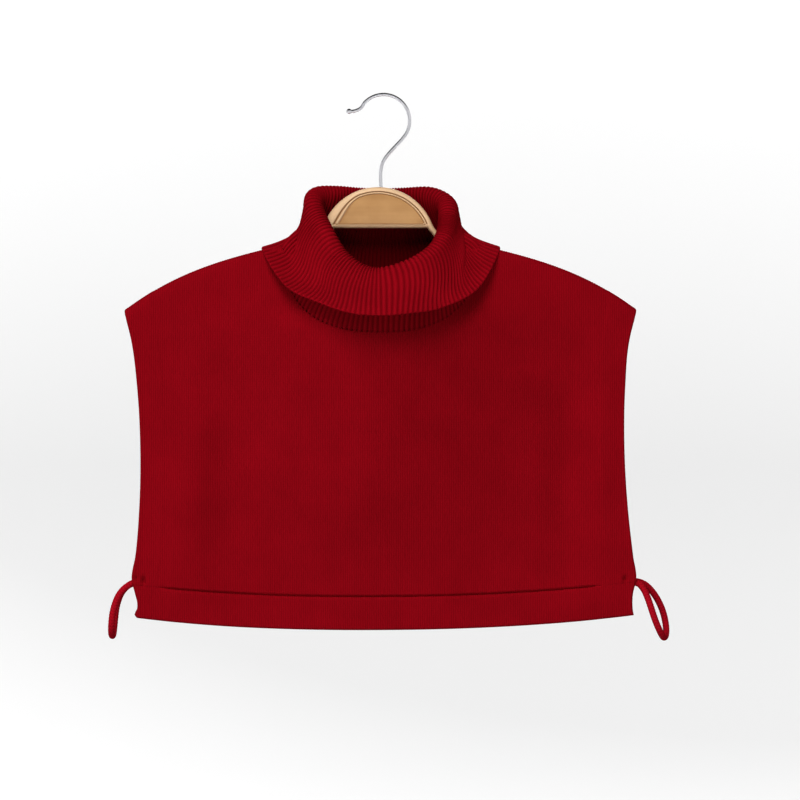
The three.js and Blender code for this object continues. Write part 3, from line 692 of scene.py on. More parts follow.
def knit_finish(name, settings, raised_of, bump, painted_shade=None):
    """Matt carded yarn with a little loose fibre, and painted shade between the stitches.
    raised_of adds the nodes that say how far the surface stands up, and the last argument names
    an attribute that is 1 where deep shade is painted into the colour."""
    material, tree, shader = surface_material(
        name, {"Roughness": 0.95, "Specular IOR Level": 0.06, "Sheen Weight": 0.12,
               "Sheen Roughness": 0.4, "Sheen Tint": (*settings.color, 1)})
    raised = raised_of(tree)
    place = add_node(tree, "ShaderNodeTexCoord").outputs["Object"]
    patches = add_node(tree, "ShaderNodeTexNoise",
                       {"Vector": place, "Scale": PER_METRE / DYE_PATCHES, "Detail": 3.0})
    # The stitches paint shade between them into the colour, and the noise gives patches of dye
    share = add_node(tree, MATH, [raised, KNIT_SWAY["stitches"]], operation="MULTIPLY")
    share = add_node(tree, MATH, [patches, KNIT_SWAY["patches"], share], operation="MULTIPLY_ADD")
    # Painted shade: where the attribute is 1, the colour goes to the shade colour
    if painted_shade:
        kept = add_node(tree, "ShaderNodeAttribute", attribute_name=painted_shade).outputs["Fac"]
        share = add_node(tree, MATH, [share, kept], operation="SUBTRACT")
    color = add_node(tree, "ShaderNodeMix",
                     {0: share, 6: (*settings.shade, 1), 7: (*settings.color, 1)}, data_type="RGBA")
    fibre = add_node(tree, "ShaderNodeTexNoise",
                     {"Vector": place, "Scale": PER_METRE / LOOSE_FIBRE, "Detail": 2.0})
    height = add_node(tree, MATH, [fibre, KNIT_SWAY["fibre"], raised], operation="MULTIPLY_ADD")
    bumped = add_node(tree, "ShaderNodeBump", {"Height": height, "Distance": bump, "Strength": 0.8})
    set_inputs(tree, shader, {"Base Color": color.outputs[2], "Normal": bumped})
    return material


def stitch_height(tree, across, along):
    """Columns of V-shaped stitches, standing up between the whole numbers of across."""
    leg = across
    for operation, *values in (("FRACT",), ("SUBTRACT", 0.5), ("ABSOLUTE",)):
        leg = add_node(tree, MATH, [leg, *values], operation=operation)
    row = add_node(tree, MATH, [along, leg], operation="ADD")
    stitch = add_node(tree, MATH, [ridges(tree, row), ROW_RELIEF, 1 - ROW_RELIEF],
                      operation="MULTIPLY_ADD")
    return add_node(tree, MATH, [ridges(tree, across), stitch], operation="MULTIPLY")


def panel_stitches(settings):
    """Stitches of the panels, counted on the object's own X and Z."""
    def raised(tree):
        place = add_node(tree, "ShaderNodeTexCoord").outputs["Object"]
        split = add_node(tree, "ShaderNodeSeparateXYZ", [place]).outputs
        across = add_node(tree, MATH, [split["X"], settings.wale], operation="DIVIDE")
        along = add_node(tree, MATH, [split["Z"], settings.course], operation="DIVIDE")
        return stitch_height(tree, across, along)
    return raised


def collar_stitches(settings):
    """Stitches of the collar, counted on its own UV map: ribs across, metres along."""
    def raised(tree):
        place = add_node(tree, "ShaderNodeUVMap", uv_map="Knit")
        split = add_node(tree, "ShaderNodeSeparateXYZ", [place]).outputs
        along = add_node(tree, MATH, [split["Y"], settings.stitch], operation="DIVIDE")
        return stitch_height(tree, split["X"], along)
    return raised


def loop_stitches(tree):
    """Stitches of the cord, as pressed into its surface."""
    return ridges(tree, add_node(tree, "ShaderNodeAttribute", attribute_name="phase").outputs["Fac"])


def yarn_fibres(tree):
    """Fibres of a single yarn, as a fine noise."""
    place = add_node(tree, "ShaderNodeTexCoord").outputs["Object"]
    return add_node(tree, "ShaderNodeTexNoise",
                    {"Vector": place, "Scale": PER_METRE / YARN_FIBRE, "Detail": 2.0})


def wood_finish(settings):
    """Lotus wood, sanded and lacquered: long pale grain under a soft satin shine, with a painted
    highlight on the rim and painted shade in the groove."""
    material, tree, shader = surface_material(
        "Lacquered lotus wood", {"Roughness": 0.42, "Coat Weight": 0.35, "Coat Roughness": 0.22})
    place = add_node(tree, "ShaderNodeTexCoord").outputs["Object"]
    scale = tuple(PER_METRE / size for size in WOOD_GRAIN)
    stretched = add_node(tree, "ShaderNodeMapping", {"Vector": place, "Scale": scale})
    grain = add_node(tree, "ShaderNodeTexNoise", {"Vector": stretched, "Scale": 1.0, "Detail": 6.0})
    patches = add_node(tree, "ShaderNodeTexNoise",
                       {"Vector": place, "Scale": PER_METRE / WOOD_PATCHES, "Detail": 3.0})
    share = add_node(tree, MATH, [patches, WOOD_SWAY["patches"], WOOD_SWAY["base"]],
                     operation="MULTIPLY_ADD")
    share = add_node(tree, MATH, [grain, WOOD_SWAY["grain"], share], operation="MULTIPLY_ADD")
    rim, groove = (add_node(tree, "ShaderNodeAttribute", attribute_name=name).outputs["Fac"]
                   for name in ("rim", "groove"))
    color = (*settings.grain, 1)
    # the rim colour adds a painted highlight and the groove colour painted shade
    for cover, over in ((share, settings.wood), (rim, settings.rim), (groove, settings.groove)):
        color = add_node(tree, "ShaderNodeMix", {0: cover, 6: color, 7: (*over, 1)},
                         data_type="RGBA").outputs[2]
    bumped = add_node(tree, "ShaderNodeBump",
                      {"Height": grain, "Distance": BUMPS["wood"], "Strength": 0.2})
    set_inputs(tree, shader, {"Base Color": color, "Normal": bumped})
    return material


def chrome_finish(settings):
    """Chrome plate on drawn steel wire: a clear mirror with a little haze from handling."""
    material, tree, shader = surface_material(
        "Chrome-plated steel", {"Metallic": 1.0, "Base Color": (*settings.chrome, 1)})
    place = add_node(tree, "ShaderNodeTexCoord").outputs["Object"]
    smears = add_node(tree, "ShaderNodeTexNoise",
                      {"Vector": place, "Scale": PER_METRE / HANDLING_HAZE, "Detail": 3.0})
    haze = add_node(tree, "ShaderNodeMapRange", {"Value": smears, "To Min": 0.06, "To Max": 0.2})
    set_inputs(tree, shader, {"Roughness": haze})
    return material


def panel_columns():
    """Nominal places of a panel's columns, close where the neck seam is steep and at the edges."""
    turns = np.linspace(-0.25, 0.25, PANEL_COLUMNS["neck"])
    crowded = turns + NECK_CROWDING * np.sin(4 * np.pi * turns) / (4 * np.pi)
    neck = NECK_HALF_WIDTH * neck_power(np.sin(2 * np.pi * crowded))
    rim = SHOULDER_HALF_WIDTH - RIM_STEPS[::-1]
    inner = np.linspace(NECK_HALF_WIDTH, TIP_START, PANEL_COLUMNS["shoulder"])
    outer = np.linspace(TIP_START, rim[0], PANEL_COLUMNS["tip"])
    shoulder = np.concatenate([inner[1:], outer[1:], rim[1:]])
    return np.concatenate([-shoulder[::-1], neck, shoulder])


def crease_share(x):
    """How far the hem's crease shows, from 1 in the middle to 0 near the sides."""
    out = np.abs(x - CREASE_FADE["middle"])
    return 1 - smooth((out - CREASE_FADE["start"]) / (CREASE_FADE["end"] - CREASE_FADE["start"]))


def cloth_wall(face, heights, cloth, proud, crease_row):
    """Closed wall of a panel or its hem through a grid of heights. Its outer face is where the
    frame has it, and crease_row is the row, first or last, that lies in the hem's crease."""
    nominal = np.broadcast_to(panel_columns(), heights.shape)
    x = column_x(nominal, heights)
    normal = cloth_normal(face, x, heights)
    depth = cloth_depth(face, x, heights) + proud * crease_share(x)
    outer = np.stack([x, side_of(face) * depth, heights], axis=-1)
    radius = cloth / 2
    from_side = SHOULDER_HALF_WIDTH - np.abs(nominal)
    from_top = run_length(outer)
    from_bottom = from_top[-1] - from_top
    blunt = rim_share(from_top, BLUNT_EDGE)
    share = rim_share(from_side, radius)
    if crease_row == 0:
        from_crease = from_top
        share = share * rim_share(from_bottom, radius)
    else:
        from_crease = from_bottom
        blunt = blunt * rim_share(from_bottom, BLUNT_EDGE)
    groove = (CREASE_DEPTH + proud) * crease_share(x) * (1 - smooth(from_crease / CREASE_WIDTH))
    share = share * blunt
    curl = EDGE_CURL["swell"] * bell((from_side - EDGE_CURL["from_rim"]) / EDGE_CURL["width"])
    past_facing = (from_side - FACING["width"]) / FACING["step"] + 1
    turned_in = FACING["swell"] * (1 - smooth(past_facing))
    middle = outer - normal * (radius * blunt + groove)[..., None]
    for dent_x, dent_z, wide, tall, sink in DENTS if face == "front" else []:
        dent = sink * bell((x - dent_x) / wide) * bell((heights - dent_z) / tall)
        middle = middle - normal * dent[..., None]
    middle[..., 1] = side_of(face) * np.maximum(side_of(face) * middle[..., 1], SEAM_GAP / 2)
    return shell(middle, normal, share * (radius + curl + turned_in))


def panel_heights(face):
    """Heights of a panel's rows, close together where it turns over the hanger's arm."""
    nominal = panel_columns()
    top = panel_top(nominal, face)
    drawn_in = shoulder_height(column_x(nominal, top))
    top = np.where(np.abs(nominal) > NECK_HALF_WIDTH, drawn_in, top)
    bottom = hem_height(nominal) + HEM_HEIGHT
    power = OVER_ARM_ROUNDNESS
    turned = OVER_ARM_FALL * (1 - (1 - ARM_SHARES ** power) ** (1 / power))
    first = len(ARM_STEPS)
    turned[:first] = np.maximum(turned[:first], ARM_STEPS)
    near_top = top - turned[:, None]
    near_bottom = bottom + RIM_STEPS[::-1, None]
    body = mix(near_top[-1], near_bottom[0], BODY_SHARES[:, None])
    return np.concatenate([near_top, body, near_bottom])


def hem_heights():
    """Heights of a hem's rows, close together at its two edges."""
    bottom = hem_height(panel_columns())
    steps = np.append(RIM_STEPS, HEM_STEP)[:, None]
    near_top = bottom + HEM_HEIGHT - steps
    near_bottom = bottom + steps[::-1]
    shares = np.linspace(0, 1, HEM_ROWS + 2)[1:-1, None]
    return np.concatenate([near_top, mix(near_top[-1], near_bottom[0], shares), near_bottom])


def read_around(ring, turn):
    """Smooth reading of a ring of equally spaced points, one turn round it."""
    count = len(ring)
    place = np.mod(turn, 1) * count
    i = np.floor(place).astype(int)
    a, b, c, d = (ring[(i + k) % count] for k in (-1, 0, 1, 2))
    return hermite(b, (c - a) / 2, c, (d - b) / 2, (place - i)[..., None])


def collar_foot(turn, cloth):
    """Middle of the collar's wall at the neck seam."""
    angle = 2 * np.pi * turn
    front = np.cos(angle) > 0
    drop = np.where(front, NECK_DROP["front"], NECK_DROP["back"]) + NECK_LAP
    x = (NECK_HALF_WIDTH + NECK_LAP - cloth / 2) * neck_power(np.sin(angle))
    z = NECK_POINT_HEIGHT + SEAM_GAP - drop * np.abs(neck_power(np.cos(angle)))
    outer = np.where(front, cloth_depth("front", x, z), cloth_depth("back", x, z))
    depth = np.maximum(outer - cloth / 2 + NECK_PROUD, 0)
    return np.stack([x, np.where(front, -1, 1) * depth, z], axis=-1)


def half_lengths(reader):
    """Turns round a ring, and how far along each half of it they are from the front middle,
    as shares of that half from -0.5 on the left to 0.5 on the right."""
    turns = np.linspace(-0.5, 0.5, RING_READINGS)
    length = run_length(reader(turns))
    length = length - np.interp(0, turns, length)
    return turns, np.where(length < 0, length / -length[0], length / length[-1]) / 2


def rib_turns(settings, columns):
    """Turns of the columns of points at the neck seam, on the roll and at the free edge. They are
    evenly spaced on the free edge, and the shoulder points stay over the shoulder points."""
    shares = spaced(-0.5, 0.5, columns)
    edge_turns, edge_places = half_lengths(lambda turn: read_around(COLLAR_EDGE, turn))
    ends = np.interp(shares, edge_places, edge_turns)
    starts = np.interp(ends, RIB_ENDS, RIB_STARTS)
    foot_turns, foot_places = half_lengths(lambda turn: collar_foot(turn, settings.cloth))
    quarters = np.linspace(-0.5, 0.5, 5)
    wanted = np.interp(shares, np.interp(quarters, edge_turns, edge_places),
                       np.interp(quarters, foot_turns, foot_places))
    return np.interp(wanted, foot_places, foot_turns), starts, ends


def roll_frame(turn):
    """Middle of the roll, with its outward and upward directions."""
    fold, after, before = (read_around(COLLAR_FOLD, turn + step)
                           for step in (0, ROLL_STEP, -ROLL_STEP))
    along = unit(after - before)
    out = unit(np.stack([along[..., 1], -along[..., 0], np.zeros_like(turn)], axis=-1))
    up = unit(np.cross(out, along))
    return fold, out, np.where(up[..., 2:] < 0, -up, up)


def fall_value(key, turn):
    """A value of the flap's fall at each turn round the collar."""
    front, left, right = FALL[key]
    sine = np.sin(2 * np.pi * turn)[:, None]
    return mix(front, np.where(sine < 0, left, right), sine ** 2)


def collar_grid(settings, columns):
    """Middle points of the collar's wall, from the neck seam over the roll to the free edge, with
    the turn of each and each row's share of the flap."""
    feet, starts, ends = rib_turns(settings, columns)
    foot = collar_foot(feet, settings.cloth)
    fold, out, up = roll_frame(starts)
    inside = fold - ROLL_RADIUS * out
    rise = unit(unit(inside - foot) + np.array([0, 0, 1]))
    rows, turns, shares = [], [], []
    for t in TUBE_ROWS:
        rows.append(hermite(foot, rise * TUBE_TENSION, inside, up * TUBE_TENSION, t))
        turns.append(starts)
        shares.append(-1 + (1 - ROLL_SHARE) * t)
    for angle in ROLL_ROWS:
        rows.append(fold + ROLL_RADIUS * (math.sin(angle) * out + math.cos(angle) * up))
        turns.append(starts)
        shares.append((angle / math.pi - 0.5) * ROLL_SHARE)
    for t in FLAP_ROWS:
        turn = mix(starts, ends, t)
        fold, out, up = roll_frame(turn)
        edge = read_around(COLLAR_EDGE, turn)
        outside = fold + ROLL_RADIUS * out
        chord = unit(edge - outside)
        fall = unit(chord - fall_value("steep", turn) * up) * fall_value("start", turn)
        flare = unit(chord + fall_value("flare", turn) * out) * fall_value("end", turn)
        rows.append(hermite(outside, fall, edge, flare, t))
        turns.append(turn)
        shares.append(t)
    return np.array(rows), np.array(turns), np.array(shares)


def ring_normals(grid):
    """Unit normals of a grid whose rows are rings, from its neighbours."""
    along = np.roll(grid, -1, axis=1) - np.roll(grid, 1, axis=1)
    return unit(np.cross(np.gradient(grid, axis=0), along))


def crease_lift(grid, turns, shares):
    """How far the creases sink and lift the collar's surface at each point of its grid."""
    lift = np.zeros(turns.shape)
    for crease in CREASES:
        path = np.array(crease["path"])
        strength = (smooth((shares - path[0, 1]) / CREASE_EASE["start"])
                    * smooth((crease["fade"] - shares) / CREASE_EASE["end"]))
        for row in np.flatnonzero(strength > 0):
            length = run_length(grid[row])
            middle = np.interp(np.interp(shares[row], path[:, 1], path[:, 0]), turns[row], length)
            outward = (length - middle) * crease["side"]
            tail = np.exp(-np.maximum(outward, 0) / crease["tail"])
            step = smooth(outward / crease["width"] + 0.5) * tail
            ridge = bell(outward / crease["width"] + 1)
            lift[row] += strength[row] * (crease["lift"] * ridge - crease["depth"] * step)
    return lift


def catmull_rom(points, spacing):
    """Points at an even spacing on the centripetal spline through the given ones."""
    points = np.asarray(points, float)
    padded = np.concatenate([[2 * points[0] - points[1]], points, [2 * points[-1] - points[-2]]])
    fine = []
    for a, b, c, d in zip(padded, padded[1:], padded[2:], padded[3:]):
        before, span, after = (math.sqrt(np.linalg.norm(q - p)) for p, q in ((a, b), (b, c), (c, d)))
        leave = ((b - a) / before - (c - a) / (before + span) + (c - b) / span) * span
        reach = ((c - b) / span - (d - b) / (span + after) + (d - c) / after) * span
        fine += [hermite(b, leave, c, reach, t) for t in spaced(0, 1, CURVE_STEPS)]
    fine = np.array(fine + [points[-1]])
    length = run_length(fine)
    steps = np.linspace(0, length[-1], max(2, round(length[-1] / spacing)) + 1)
    return np.stack([np.interp(steps, length, fine[:, k]) for k in range(3)], axis=-1)


def tube(centres, radii, sides):
    """Points, quads and end caps of a closed tube round a line, carried along without twist."""
    tangents = unit(np.gradient(centres, axis=0))
    first = unit(np.cross(tangents[0], ASKEW))
    angles = spaced(0, 2 * np.pi, sides)[:, None]
    rings = []
    for centre, tangent, radius in zip(centres, tangents, radii):
        first = unit(first - tangent * np.dot(first, tangent))
        second = np.cross(tangent, first)
        rings.append(centre + radius * (np.cos(angles) * first + np.sin(angles) * second))
    ids = np.arange(len(centres) * sides).reshape(len(centres), sides)
    return np.concatenate(rings), quads(ringed(ids)), [ids[0], ids[-1][::-1]]


def arm_top(x):
    dip = ARM_NECK_DIP["depth"] * bell((np.abs(x) - NECK_HALF_WIDTH) / ARM_NECK_DIP["width"])
    return shoulder_height(x) - ARM_BELOW_CLOTH - dip


def arm_bottom(x):
    t = (np.abs(x) - NECK_HALF_WIDTH) / (ARM_HALF_LENGTH - NECK_HALF_WIDTH)
    return arm_top(x) - mix(ARM_DEPTH["root"], ARM_DEPTH["tip"], t)


def bezier(points, count):
    """Evenly stepped points of a curve drawn to its control points, without the last one."""
    points = [np.array(p, float) for p in points]
    t = spaced(0, 1, count)[:, None]
    while len(points) > 1:
        points = [mix(p, q, t) for p, q in zip(points, points[1:])]
    return points[0]


def hanger_outline():
    """Outline of the bar in X and Z: left arm, dome, right arm, and back along the underside."""
    tip, end, root = ARM_HALF_LENGTH, ARM_HALF_LENGTH + ARM_TIP_ROUND, NECK_HALF_WIDTH
    half, low = UNDERSIDE["half_width"], UNDERSIDE["height"]
    edge_height = math.sqrt(DOME["radius"] ** 2 - DOME["reach"] ** 2) + DOME["height"]
    start = math.atan2(edge_height - DOME["height"], -DOME["reach"])
    steps = OUTLINE_STEPS
    angles = spaced(start, math.pi - start, steps["dome"])
    dome = np.stack([DOME["x"] + DOME["radius"] * np.cos(angles),
                     DOME["height"] + DOME["radius"] * np.sin(angles)], axis=-1)

    def arm(sign, start_x, end_x, edge):
        x = spaced(start_x, end_x, steps["arm"])
        return np.stack([sign * x, edge(x)], axis=-1)

    def end_round(sign):
        return [(sign * tip, arm_bottom(tip)), (sign * end, arm_bottom(end)),
                (sign * end, arm_top(end)), (sign * tip, arm_top(tip))]

    def dome_foot(sign):
        foot = DOME["x"] + sign * DOME["reach"]
        return [(sign * root, arm_top(root)),
                (foot + sign * DOME_FOOT["beyond"], DOME_FOOT["height"]), (foot, edge_height)]

    def bend(sign):
        corner = (sign * (half + UNDERSIDE_BEND["beyond"]), UNDERSIDE_BEND["height"])
        return [(sign * root, arm_bottom(root)), corner, (sign * half, low)]

    return np.concatenate([
        bezier(end_round(-1), steps["end"]), arm(-1, tip, root, arm_top),
        bezier(dome_foot(-1), steps["foot"]), dome, bezier(dome_foot(1)[::-1], steps["foot"]),
        arm(1, root, tip, arm_top), bezier(end_round(1)[::-1], steps["end"]),
        arm(1, tip, root, arm_bottom), bezier(bend(1), steps["bend"]),
        bezier([(half, low), (-half, low)], steps["underside"]),
        bezier(bend(-1)[::-1], steps["bend"]), arm(-1, root, tip, arm_bottom),
    ])


def segment_distances(points, starts, ends):
    """Distance of each point from each segment."""
    along = ends - starts
    reach = ((points[:, None] - starts) * along).sum(axis=-1) / (along ** 2).sum(axis=-1)
    nearest = starts + np.clip(reach, 0, 1)[..., None] * along
    return np.linalg.norm(points[:, None] - nearest, axis=-1)


def rim_widths(outline, inward):
    """How much wider than its section the rim is at each point of the outline."""
    from_dome = outline - (DOME["x"], DOME["height"])
    off_dome = np.abs(np.linalg.norm(from_dome, axis=1) - DOME["radius"])
    lean = np.arctan2(from_dome[:, 0], from_dome[:, 1])
    added = np.where(lean < 0, RIM_WIDTHS["left"], RIM_WIDTHS["right"])
    added = added * smooth((np.abs(lean) - RIM_WIDENS["from"]) / RIM_WIDENS["over"])
    wider = np.where(off_dome < ON_THE_LINE["dome"], 1 + added, RIM_WIDTHS["arms"])
    for _ in range(RIM_SMOOTHING):
        wider = (np.roll(wider, 1) + wider + np.roll(wider, -1)) / 3
    inside = np.abs(outline[:, 0]) < UNDERSIDE["half_width"] + ON_THE_LINE["underside"]
    under = inside & (inward[:, 1] > ON_THE_LINE["upward"])
    return np.where(under, RIM_WIDTHS["underside"], wider)


def rim_room(outline, inward, wider):
    """How far in each point of the outline can be drawn, in widths of its rim, before it is nearer
    to a facing point, in widths of that one's rim."""
    between = outline[None] - outline[:, None]
    towards = (between * inward[:, None]).sum(axis=-1)
    apart = (between ** 2).sum(axis=-1)
    reach = wider[:, None] * towards
    inside_root = reach ** 2 + (wider ** 2 - wider[:, None] ** 2) * apart
    facing = (towards > FACING_POINTS * np.sqrt(apart)) & (inside_root >= 0)
    return np.divide(apart, reach + np.sqrt(np.abs(inside_root)), out=np.full_like(apart, 1.0),
                     where=facing).min(axis=1)


def crown_rise(flat):
    """How far the crown of the dome's face stands up at points of its outline's plane."""
    across = (flat[:, 0] - CROWN["x"]) / CROWN["half_width"]
    upward = (flat[:, 1] - CROWN["height"]) / CROWN["half_height"]
    return CROWN["rise"] * np.maximum(1 - across ** 2 - upward ** 2, 0) ** 2


def bar_rings():
    """Rings of the bar's outline, drawn in to the middle line of its front and back faces, and how
    far in from the rim each of their points is."""
    outline = hanger_outline()
    along = unit(np.roll(outline, -1, axis=0) - np.roll(outline, 1, axis=0))
    inward = np.stack([along[:, 1], -along[:, 0]], axis=-1)
    wider = rim_widths(outline, inward)
    room = rim_room(outline, inward, wider)
    insets, depths = np.array(RIM_SECTION).T
    limits = np.linspace(*SECTION_ENDS, len(insets))
    steps = [wider * np.minimum(inset, limit * room) for inset, limit in zip(insets, limits)]
    steps += [mix(steps[-1], FACE_END * wider * room, share) for share in FACE_SHARES]
    half, places = [], []
    for step in steps:
        flat = outline + inward * step[:, None]
        place = (segment_distances(flat, outline, np.roll(outline, -1, axis=0)) / wider).min(axis=1)
        depth = ARM_THICKNESS / 2 - np.interp(place, insets, depths) + crown_rise(flat)
        half.append(np.stack([flat[:, 0], depth, flat[:, 1]], axis=-1))
        places.append(place)
    front = [ring * (1, -1, 1) for ring in half]
    return np.array(front[::-1] + half), np.array(places[::-1] + places)


def hook_line(wire):
    """Points on the middle of the hook's wire, from its foot in the wood to its tip."""
    points = [(0, 0, STEM_FOOT), (0, 0, mix(STEM_FOOT, STEM_TOP, 0.5)), (0, 0, STEM_TOP),
              (STEM_BEND["x"], 0, STEM_BEND["height"])]
    for angle in np.radians(np.arange(HOOK_START, HOOK_END + 1, HOOK_STEP)):
        points.append((HOOK_X + HOOK_RADIUS * math.cos(angle), 0,
                       wire - HOOK_RADIUS + HOOK_RADIUS * math.sin(angle)))
    points.append((HOOK_TIP["x"] + TIP_LEAD["x"], 0, HOOK_TIP["height"] + TIP_LEAD["height"]))
    points.append((HOOK_TIP["x"], 0, HOOK_TIP["height"]))
    return points


class WARMER_OT_stage(bpy.types.Operator):
    """Set up the camera, the pale floor with its round backdrop, and the lights"""

    bl_idname = "warmer.stage"
    bl_label = "Stage"

    def execute(self, context):
        settings = context.scene.warmer_stage
        camera = bpy.data.objects.new("Camera", bpy.data.cameras.new("Camera"))
        camera.data.angle = 2 * math.atan(settings.view_width / 2 / settings.distance)
        camera.location = (settings.camera_x, -settings.distance, -settings.camera_drop)
        camera.rotation_euler = (math.pi / 2, 0, 0)
        context.scene.collection.objects.link(camera)
        context.scene.camera = camera
        context.scene.view_settings.view_transform = "Standard"
        context.scene.view_settings.look = "Medium High Contrast"
        self.make_backdrop(context, settings)
        self.make_lights(context)
        return {"FINISHED"}

    def make_backdrop(self, context, settings):
        material, _, _ = surface_material(
            "Matt painted floor", {"Roughness": 0.9, "Base Color": (*settings.floor, 1)})
        floor, radius, bend = FLOOR["height"], FLOOR["radius"], FLOOR["bend"]
        profile = [(radius * t, floor) for t in FLOOR_ROWS]
        profile += [(radius - bend + bend * math.sin(a), floor + bend - bend * math.cos(a))
                    for a in BEND_ROWS]
        profile.append((radius, FLOOR["top"]))
        turns = spaced(0, 2 * np.pi, FLOOR_TURNS)
        points = [(r * math.cos(a), r * math.sin(a), z) for r, z in profile for a in turns]
        ids = np.arange(len(points)).reshape(len(profile), len(turns))
        mesh = bpy.data.meshes.new("Floor")
        mesh.from_pydata(points, [], quads(ringed(ids)).tolist() + [ids[0].tolist()])
        mesh.materials.append(material)
        mesh.shade_smooth()
        backdrop = bpy.data.objects.new("floor", mesh)
        backdrop.visible_diffuse = False   # so that its bounce doesn't fill the cloth's shades
        context.scene.collection.objects.link(backdrop)

    def make_lights(self, context):
        for name, place, target, size, power in LAMPS:
            lamp = bpy.data.lights.new(name, "AREA")
            lamp.size = size
            lamp.energy = power
            holder = bpy.data.objects.new(name, lamp)
            holder.location = place
            towards = Vector(target) - Vector(place)
            holder.rotation_euler = towards.to_track_quat("-Z", "Y").to_euler()
            holder.visible_glossy = False   # so that no square glints in the chrome and lacquer
            context.scene.collection.objects.link(holder)
        world = bpy.data.worlds.new("Studio")
        world.use_nodes = True
        background = world.node_tree.nodes["Background"]
        background.inputs["Color"].default_value = (1, 1, 1, 1)
        background.inputs["Strength"].default_value = SKY_STRENGTH
        context.scene.world = world


class WARMER_OT_loops(bpy.types.Operator):
    """Make the two knitted side loops along their routes"""

    bl_idname = "warmer.loops"
    bl_label = "Side loops"

    def execute(self, context):
        settings = context.scene.warmer_loops
        material = knit_finish("Knitted cord", settings, loop_stitches, BUMPS["cord"])
        relief = relief_tree()
        for side, route in (("left", LEFT_LOOP), ("right", RIGHT_LOOP)):
            centres = catmull_rom(route, LOOP_STEP)
            radii = np.full(len(centres), settings.diameter / 2)
            points, faces, caps = tube(centres, radii, LOOP_SIDES)
            ring, around = np.divmod(np.arange(len(points)), LOOP_SIDES)
            column = np.mod(around / LOOP_SIDES * LOOP_COLUMNS, 1)
            phase = ring * LOOP_STEP / settings.stitch + np.abs(column - 0.5)
            piece = new_piece(f"{side}_knitted_loop", points, faces, material, caps,
                              attributes={"phase": phase, "share": np.ones(len(points))})
            apply_tree(piece, relief, Height=settings.relief, Sharpness=RIDGE_POWER["cord"],
                       Material=material)
            place_piece(piece, "cord", f"{side}_side_loop")
        return {"FINISHED"}


class WARMER_OT_hanger(bpy.types.Operator):
    """Make the hanger's wooden bar with its beaded rim, and its wire hook"""

    bl_idname = "warmer.hanger"
    bl_label = "Hanger"

    def execute(self, context):
        settings = context.scene.warmer_hanger
        rings, places = bar_rings()
        ids = np.arange(places.size).reshape(places.shape)
        # Painted shade in the two grooves, and a painted highlight on the rim out to the bead's end
        painted_groove_shade = sum(dark * bell((places - middle) / GROOVE_WIDTH)
                    for middle, dark in GROOVES.items())
        painted_rim_highlight = 1 - smooth((places - BEAD_END) / GROOVE_WIDTH)
        bar = new_piece("wooden_bar", rings.reshape(-1, 3), quads(ringed(ids)),
                        wood_finish(settings), [ids[0], ids[-1][::-1]],
                        attributes={"rim": painted_rim_highlight.ravel(), "groove": painted_groove_shade.ravel()})
        place_piece(bar, "wood", "hanger_bar")

        line = catmull_rom(hook_line(settings.wire), HOOK_SPACING)
        tip = line[-1]
        last = unit(tip - line[-2])
        ball = HOOK_TIP["radius"]
        line = line[np.linalg.norm(line - tip, axis=1) > ball]
        radii = np.concatenate([np.full(len(line), settings.wire), ball * np.cos(BALL_ROWS)])
        line = np.concatenate([line, tip + last * ball * np.sin(BALL_ROWS)[:, None]])
        points, faces, caps = tube(line, radii, HOOK_SIDES)
        hook = new_piece("wire_hook", points, faces, chrome_finish(settings), caps)
        place_piece(hook, "chrome", "hanger_hook")
        return {"FINISHED"}


class WARMER_OT_panels(bpy.types.Operator):
    """Make the front and back panels, their doubled hems and the stitches of the shoulder seams"""

    bl_idname = "warmer.panels"
    bl_label = "Panels and hems"

    def execute(self, context):
        settings = context.scene.warmer_panels
        stitches = panel_stitches(settings)
        material = knit_finish("Fine jersey knit", settings, stitches, BUMPS["panel"])
        for face in ("front", "back"):
            points, faces, _ = cloth_wall(face, hem_heights(), HEM_CLOTH, HEM_PROUD, 0)
            hem = new_piece(f"{face}_hem", points, faces, material)
            place_piece(hem, "knit", f"{face}_hem_band")
            points, faces, _ = cloth_wall(face, panel_heights(face), settings.cloth, 0, -1)
            panel = new_piece(f"{face}_bib", points, faces, material)
            place_piece(panel, "knit", f"{face}_panel")
        yarn = knit_finish("Shoulder linking yarn", settings, yarn_fibres, BUMPS["yarn"])
        start = NECK_HALF_WIDTH + SEAM_ENDS["neck"]
        end = SHOULDER_HALF_WIDTH - SEAM_ENDS["tip"]
        for side, sign in (("left", -1), ("right", 1)):
            x = sign * np.arange(start, end, SEAM_STITCH["pitch"])
            height = shoulder_height(x)
            places = np.stack([x, 0 * x, height - SEAM_STITCH["sunk"]], axis=-1)
            slope = unit(np.stack([np.gradient(x), 0 * x, np.gradient(height)], axis=-1))
            lean = SEAM_STITCH["lean"] * np.where(np.arange(len(x)) % 2, 1, -1)
            along = slope + lean[:, None] * (0, 1, 0)
            seam = stitched(f"{side}_shoulder_seam", places, along, yarn, SEAM_STITCH)
            place_piece(seam, "knit")
        return {"FINISHED"}


